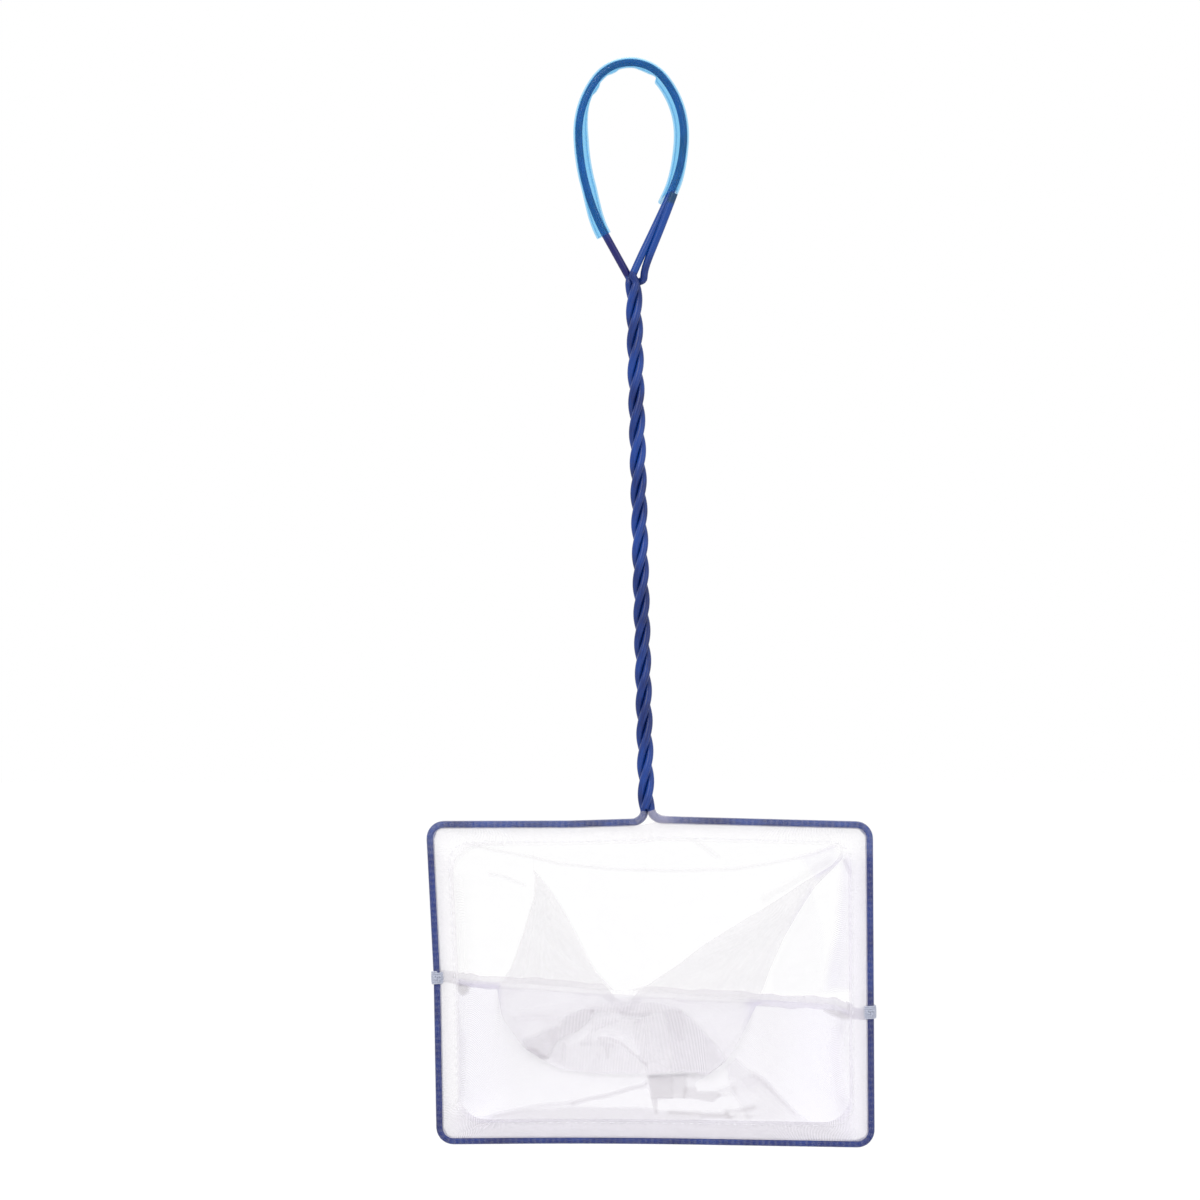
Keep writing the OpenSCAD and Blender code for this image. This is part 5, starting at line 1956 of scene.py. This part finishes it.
        self.folded(points, marks, POCKET_FOLDS, front)
        self.folded(points, marks, FLOOR_FOLDS, floor * np.ones_like(x))
        return Skin(points, self.cloth_map(x, y, z), marks=marks)

    def hang(self, x: Array, level: Array, left: Array, right: Array, y: Array | None = None) -> Array:
        """Heights of the lower panel: from the mouth's bottom up to the seam, with a belly between them.

        Args:
            x: Places across.
            level: From 0 at the mouth to 1 at the seam.
            left: The rim's left side.
            right: Its right side.
            y: How far back each place lies, if it isn't on the panel's middle part.

        Returns:
            The height of each place.
        """
        back = self.start_y + (self.depth - self.start_y) * level
        share = 1.0 if y is None else np.clip(y / np.maximum(back, 1e-6), 0.0, 1.0)
        rim_z = np.interp(np.clip(x, *self.rim_bottom), *self.bottom_side)
        across = np.clip((x - left) / (right - left), 0.0, 1.0)
        bulge = 4 * self.belly_down * level * (1 - level) * np.sin(np.pi * across) ** 0.6
        return rim_z * (1 - level) + self.seam_z(x, self.depth * share * np.ones_like(x)) * level - bulge

    def level_z(self, t: Array, side: str) -> Array:
        """Heights on the rim's side, from the bottom corner up to the lashing.

        Args:
            t: Levels of the lower panel.
            side: "left" or "right".

        Returns:
            The height of each level.
        """
        corner, seam = ((self.rim_bottom[0], self.seam_left) if side == "left"
                        else (self.rim_bottom[1], self.seam_right))
        return float(np.interp(corner, *self.bottom_side)) * (1 - t) + seam * t

    @staticmethod
    def cloth_map(x: Array, y: Array, z: Array) -> Array:
        """Map places in millimetres that follow the cloth, across by x and y and down by the length travelled."""
        step = np.hypot(np.diff(z, axis=0, prepend=z[:1]), np.diff(y, axis=0, prepend=y[:1]))
        return np.stack([x + 0.7 * y * np.sign(x), np.cumsum(step, axis=0).mean(1)[:, None] * np.ones_like(x)], -1)

    def seam_path(self) -> tuple[Array, Array]:
        """The seam's line on the outside of the bag.

        Returns:
            Points from the left lashing round the toe to the right one, with the dip that the toe's middle
            shows, and the bag's outer side at each of them.
        """
        one = np.ones((1, 1))
        lx, ly, rx, ry = self.walls(self.seam_columns, (one, one), (self.end_left, self.end_right))
        left_x, right_x = self.casing.wire.left_lash[0], self.casing.wire.right_lash[0]
        flat = np.concatenate([
            [[left_x + gap, y] for gap, y in self.seam_feet], np.stack([lx[0], ly[0]], 1)[self.seam_cut:],
            np.stack([rx[0], ry[0]], 1)[:-self.seam_cut], [[right_x - gap, y] for gap, y in self.seam_feet[::-1]]])
        flat = softened(spaced(flat, self.seam_spacing), self.seam_rounds)
        flat = flat + self.outward(flat)[:, :2] * self.seam_lift
        x, y = flat.T
        length = travelled(flat)
        z = self.seam_z(x, np.minimum(y, self.depth)) + 0.30 * np.sin(length * 0.19) + 0.2 * np.sin(length * 0.53 + 1.0)
        dip = np.exp(-(np.abs((x - self.dip_x) / self.dip_r) ** 2.6)) * self.dip_back.at(y)
        path = np.stack([x, y, z - self.dip * dip], axis=1)
        return path, self.outward(path)

    @staticmethod
    def outward(path: Array) -> Array:
        """Level directions square to a path that runs clockwise round the bag, on its outer side."""
        way = unit(np.gradient(path[:, :2], axis=0))
        return np.stack([-way[:, 1], way[:, 0], np.zeros(len(way))], axis=1)

    def seam(self) -> Skin:
        """The seam's turned edges: both panels' edges folded over into a strip three layers thick.

        Returns:
            A skin whose rows follow the seam and whose columns run up, back down and up again, a little further
            out all the way. It is bunched at the right end, and thicker at the left.
        """
        path, outward = self.seam_path()
        up = np.linspace(-0.5, 0.5, 7)
        rise = np.concatenate([up, up[-2::-1], up[1:]])
        out = np.linspace(0.0, self.seam_layers, len(rise))
        length = travelled(path)
        pucker = self.seam_pucker * np.sin(length * 2 * np.pi / self.casing.pitch)[:, None] * rise**2
        narrow = 0.9 + 0.1 * smooth(np.minimum(length, length[-1] - length) / 12.0)
        tall = self.seam_w * (narrow * (1 + 0.05 * np.sin(length * 0.8)))[:, None] * rise[None, :]
        points = (path[:, None] + np.array([0.0, 0.0, 1.0]) * tall[..., None]
                  + outward[:, None] * (out + pucker)[..., None])
        x, y = path[:, 0], path[:, 1]
        ends, right = Fade(-41.0, -57.0).at(x), Fade(28.0, 40.0).at(x)
        bunch = Fade(60.0, 64.0).at(x) * Fade(28.0, 8.0).at(y)
        left = (x < -60.0) * Fade(20.0, 4.0).at(y)
        ridges = 0.10 * np.sin(length * 1.7)
        return Skin(points, marks={
            "gather": (-0.18 + 0.2 * ends + 0.25 * right + 1.4 * bunch + 0.6 * left + ridges)[:, None],
            "shade": (0.09 + 0.04 * ends + 0.05 * right + 0.35 * bunch + 0.2 * left)[:, None],
            "cool": 0.3 * Fade(36.0, 42.0).at(x)[:, None]})

    def seam_thread(self) -> Skin:
        """Running stitches along the seam, on its outside.

        Returns:
            A stack of rods, one for each stitch.
        """
        path, outward = self.seam_path()
        line = path + outward * self.thread_lift
        casing = self.casing
        return running_stitch(line, outward, 0.3, casing.pitch, casing.stitch, self.thread, 0.12)

    def build(self, mesh: Material, seam: Material, thread: Material) -> None:
        """Makes the two panels, the seam and its stitches.

        Args:
            mesh: Material of the panels.
            seam: Material of the turned edges.
            thread: Material of the stitches.
        """
        neck = self.casing.wire.neck
        strip = dress(make_piece("toe_seam", [self.seam()], neck, CLOTH_SHARP), seam, "bag_seam")
        rows = dress(make_piece("seam_thread", [self.seam_thread()], neck), thread, "seam_stitches")
        for name, skin in (("upper", self.upper()), ("lower", self.lower())):
            piece = make_piece(f"{name}_net", [skin], neck, CLOTH_SHARP)
            dress(piece, mesh, f"{name}_panel")


# The studio


@dataclass
class Studio:
    """A white studio: the net hangs in front of the camera, with soft light from above and both sides."""

    distance: float = 2.0
    centre: tuple[float, float] = (-0.0097, -0.1787)
    width: float = 0.408
    floor_z: float = -0.52
    ambient: float = 0.80
    sensor: float = 36.0
    aim: tuple[float, float, float] = (0.0, 0.02, -0.2)
    floor_x: tuple[float, float] = (-6000.0, 6000.0)
    floor_y: tuple[float, float] = (-6000.0, 9000.0)
    glow: float = 1.17
    glow_share: float = 0.7

    def camera(self) -> None:
        """Places the camera level with the photograph's centre, looking along +Y."""
        lens = bpy.data.cameras.new("camera")
        lens.sensor_width = self.sensor
        lens.lens = self.sensor * self.distance / self.width
        lens.clip_end = 50.0
        camera = bpy.data.objects.new("camera", lens)
        camera.location = (self.centre[0], -self.distance, self.centre[1])
        camera.rotation_euler = (math.pi / 2, 0.0, 0.0)
        bpy.context.scene.collection.objects.link(camera)
        bpy.context.scene.camera = camera

    def lamp(self, name: str, place: tuple[float, float, float], size: float, power: float) -> None:
        """Hangs one soft square lamp that faces the net.

        Args:
            name: The lamp's name.
            place: Where it hangs.
            size: Its side.
            power: Its power in watts.
        """
        light = bpy.data.lights.new(name, "AREA")
        light.size, light.energy = size, power
        lamp = bpy.data.objects.new(name, light)
        lamp.location = place
        aim = np.array(self.aim) - np.array(place)
        flat = math.hypot(aim[0], aim[1])
        lamp.rotation_euler = (math.atan2(flat, -aim[2]), 0.0, math.atan2(-aim[0], aim[1]))
        bpy.context.scene.collection.objects.link(lamp)

    def world(self) -> None:
        """Lights the room evenly, and shows it white to the camera and in gloss."""
        world = bpy.data.worlds.new("room")
        nodes = Nodes(world)
        path = nodes.add("ShaderNodeLightPath")
        mirrored = nodes.value(path, "Is Glossy Ray").most(nodes.value(path, "Is Transmission Ray"))
        seen = nodes.value(path, "Is Camera Ray").most(mirrored)
        strength = nodes.value(nodes.add("ShaderNodeMapRange", {}, {"Value": seen, "To Min": self.ambient}))
        back = nodes.add("ShaderNodeBackground", {}, {"Color": (1.0, 1.0, 1.0), "Strength": strength})
        nodes.surface(back.outputs[0], "ShaderNodeOutputWorld")
        bpy.context.scene.world = world

    def floor(self) -> None:
        """Lays a pale floor that shows white to the camera except where the net shades it."""
        grid = np.stack(np.meshgrid(self.floor_x, self.floor_y, [0.0], indexing="ij"), -1)[:, :, 0]
        piece = make_piece("floor", [Skin(grid)], Neck(0.0, self.floor_z / MM, 0.0))
        nodes = Nodes(bpy.data.materials.new("pale_floor"))
        place = nodes.add("ShaderNodeTexCoord")
        grain = nodes.noise(place.outputs["Object"], scale=3.0)
        colour = nodes.blend(grain, (0.80, 0.80, 0.80), (0.84, 0.84, 0.84))
        seen = nodes.value(nodes.add("ShaderNodeLightPath"), "Is Camera Ray")
        matt = nodes.add("ShaderNodeBsdfDiffuse", {}, {"Color": colour})
        glow = nodes.add("ShaderNodeEmission", {}, {"Color": (1.0, 1.0, 1.0), "Strength": self.glow})
        both = nodes.add("ShaderNodeMixShader", {}, {0: seen * self.glow_share, 1: matt.outputs[0], 2: glow.outputs[0]})
        piece.data.materials.append(nodes.surface(both.outputs[0]))

    def build(self) -> None:
        """Makes the camera, the lamps, the room and the floor."""
        self.camera()
        self.lamp("key", (-0.7, -1.0, 0.7), 0.9, 9.0)
        self.lamp("fill", (1.0, -0.9, 0.1), 1.0, 4.0)
        self.lamp("back", (0.1, 1.0, 0.9), 1.0, 5.0)
        self.world()
        self.floor()
        scene = bpy.context.scene
        scene.view_settings.view_transform = "Standard"
        scene.cycles.transparent_max_bounces = 48


def main() -> None:
    """Builds the studio and the net."""
    logging.basicConfig(level=logging.INFO, format="%(name)s: %(message)s")
    Studio().build()
    coat, steel = WireCoat().material(), DrawnSteel().material()
    thread = SewingThread().material()
    wire = WireFrame(Neck())
    wire.build(coat, steel)
    Sleeve(wire).build(ClearSleeve().material())
    casing = Casing(wire)
    # The last colour is painted shade in the valleys between the stitches' plies.
    stitch = SewingThread("stitching", (0.80, 0.79, 0.83), (0.73, 0.72, 0.76)).material()
    casing.build(KnitMesh("casing_mesh").material(), thread, stitch)
    Bag(casing).build(KnitMesh().material(), KnitMesh("seam_mesh", hole=0.2, thread=0.45).material(), stitch)


if __name__ == "__main__":
    main()
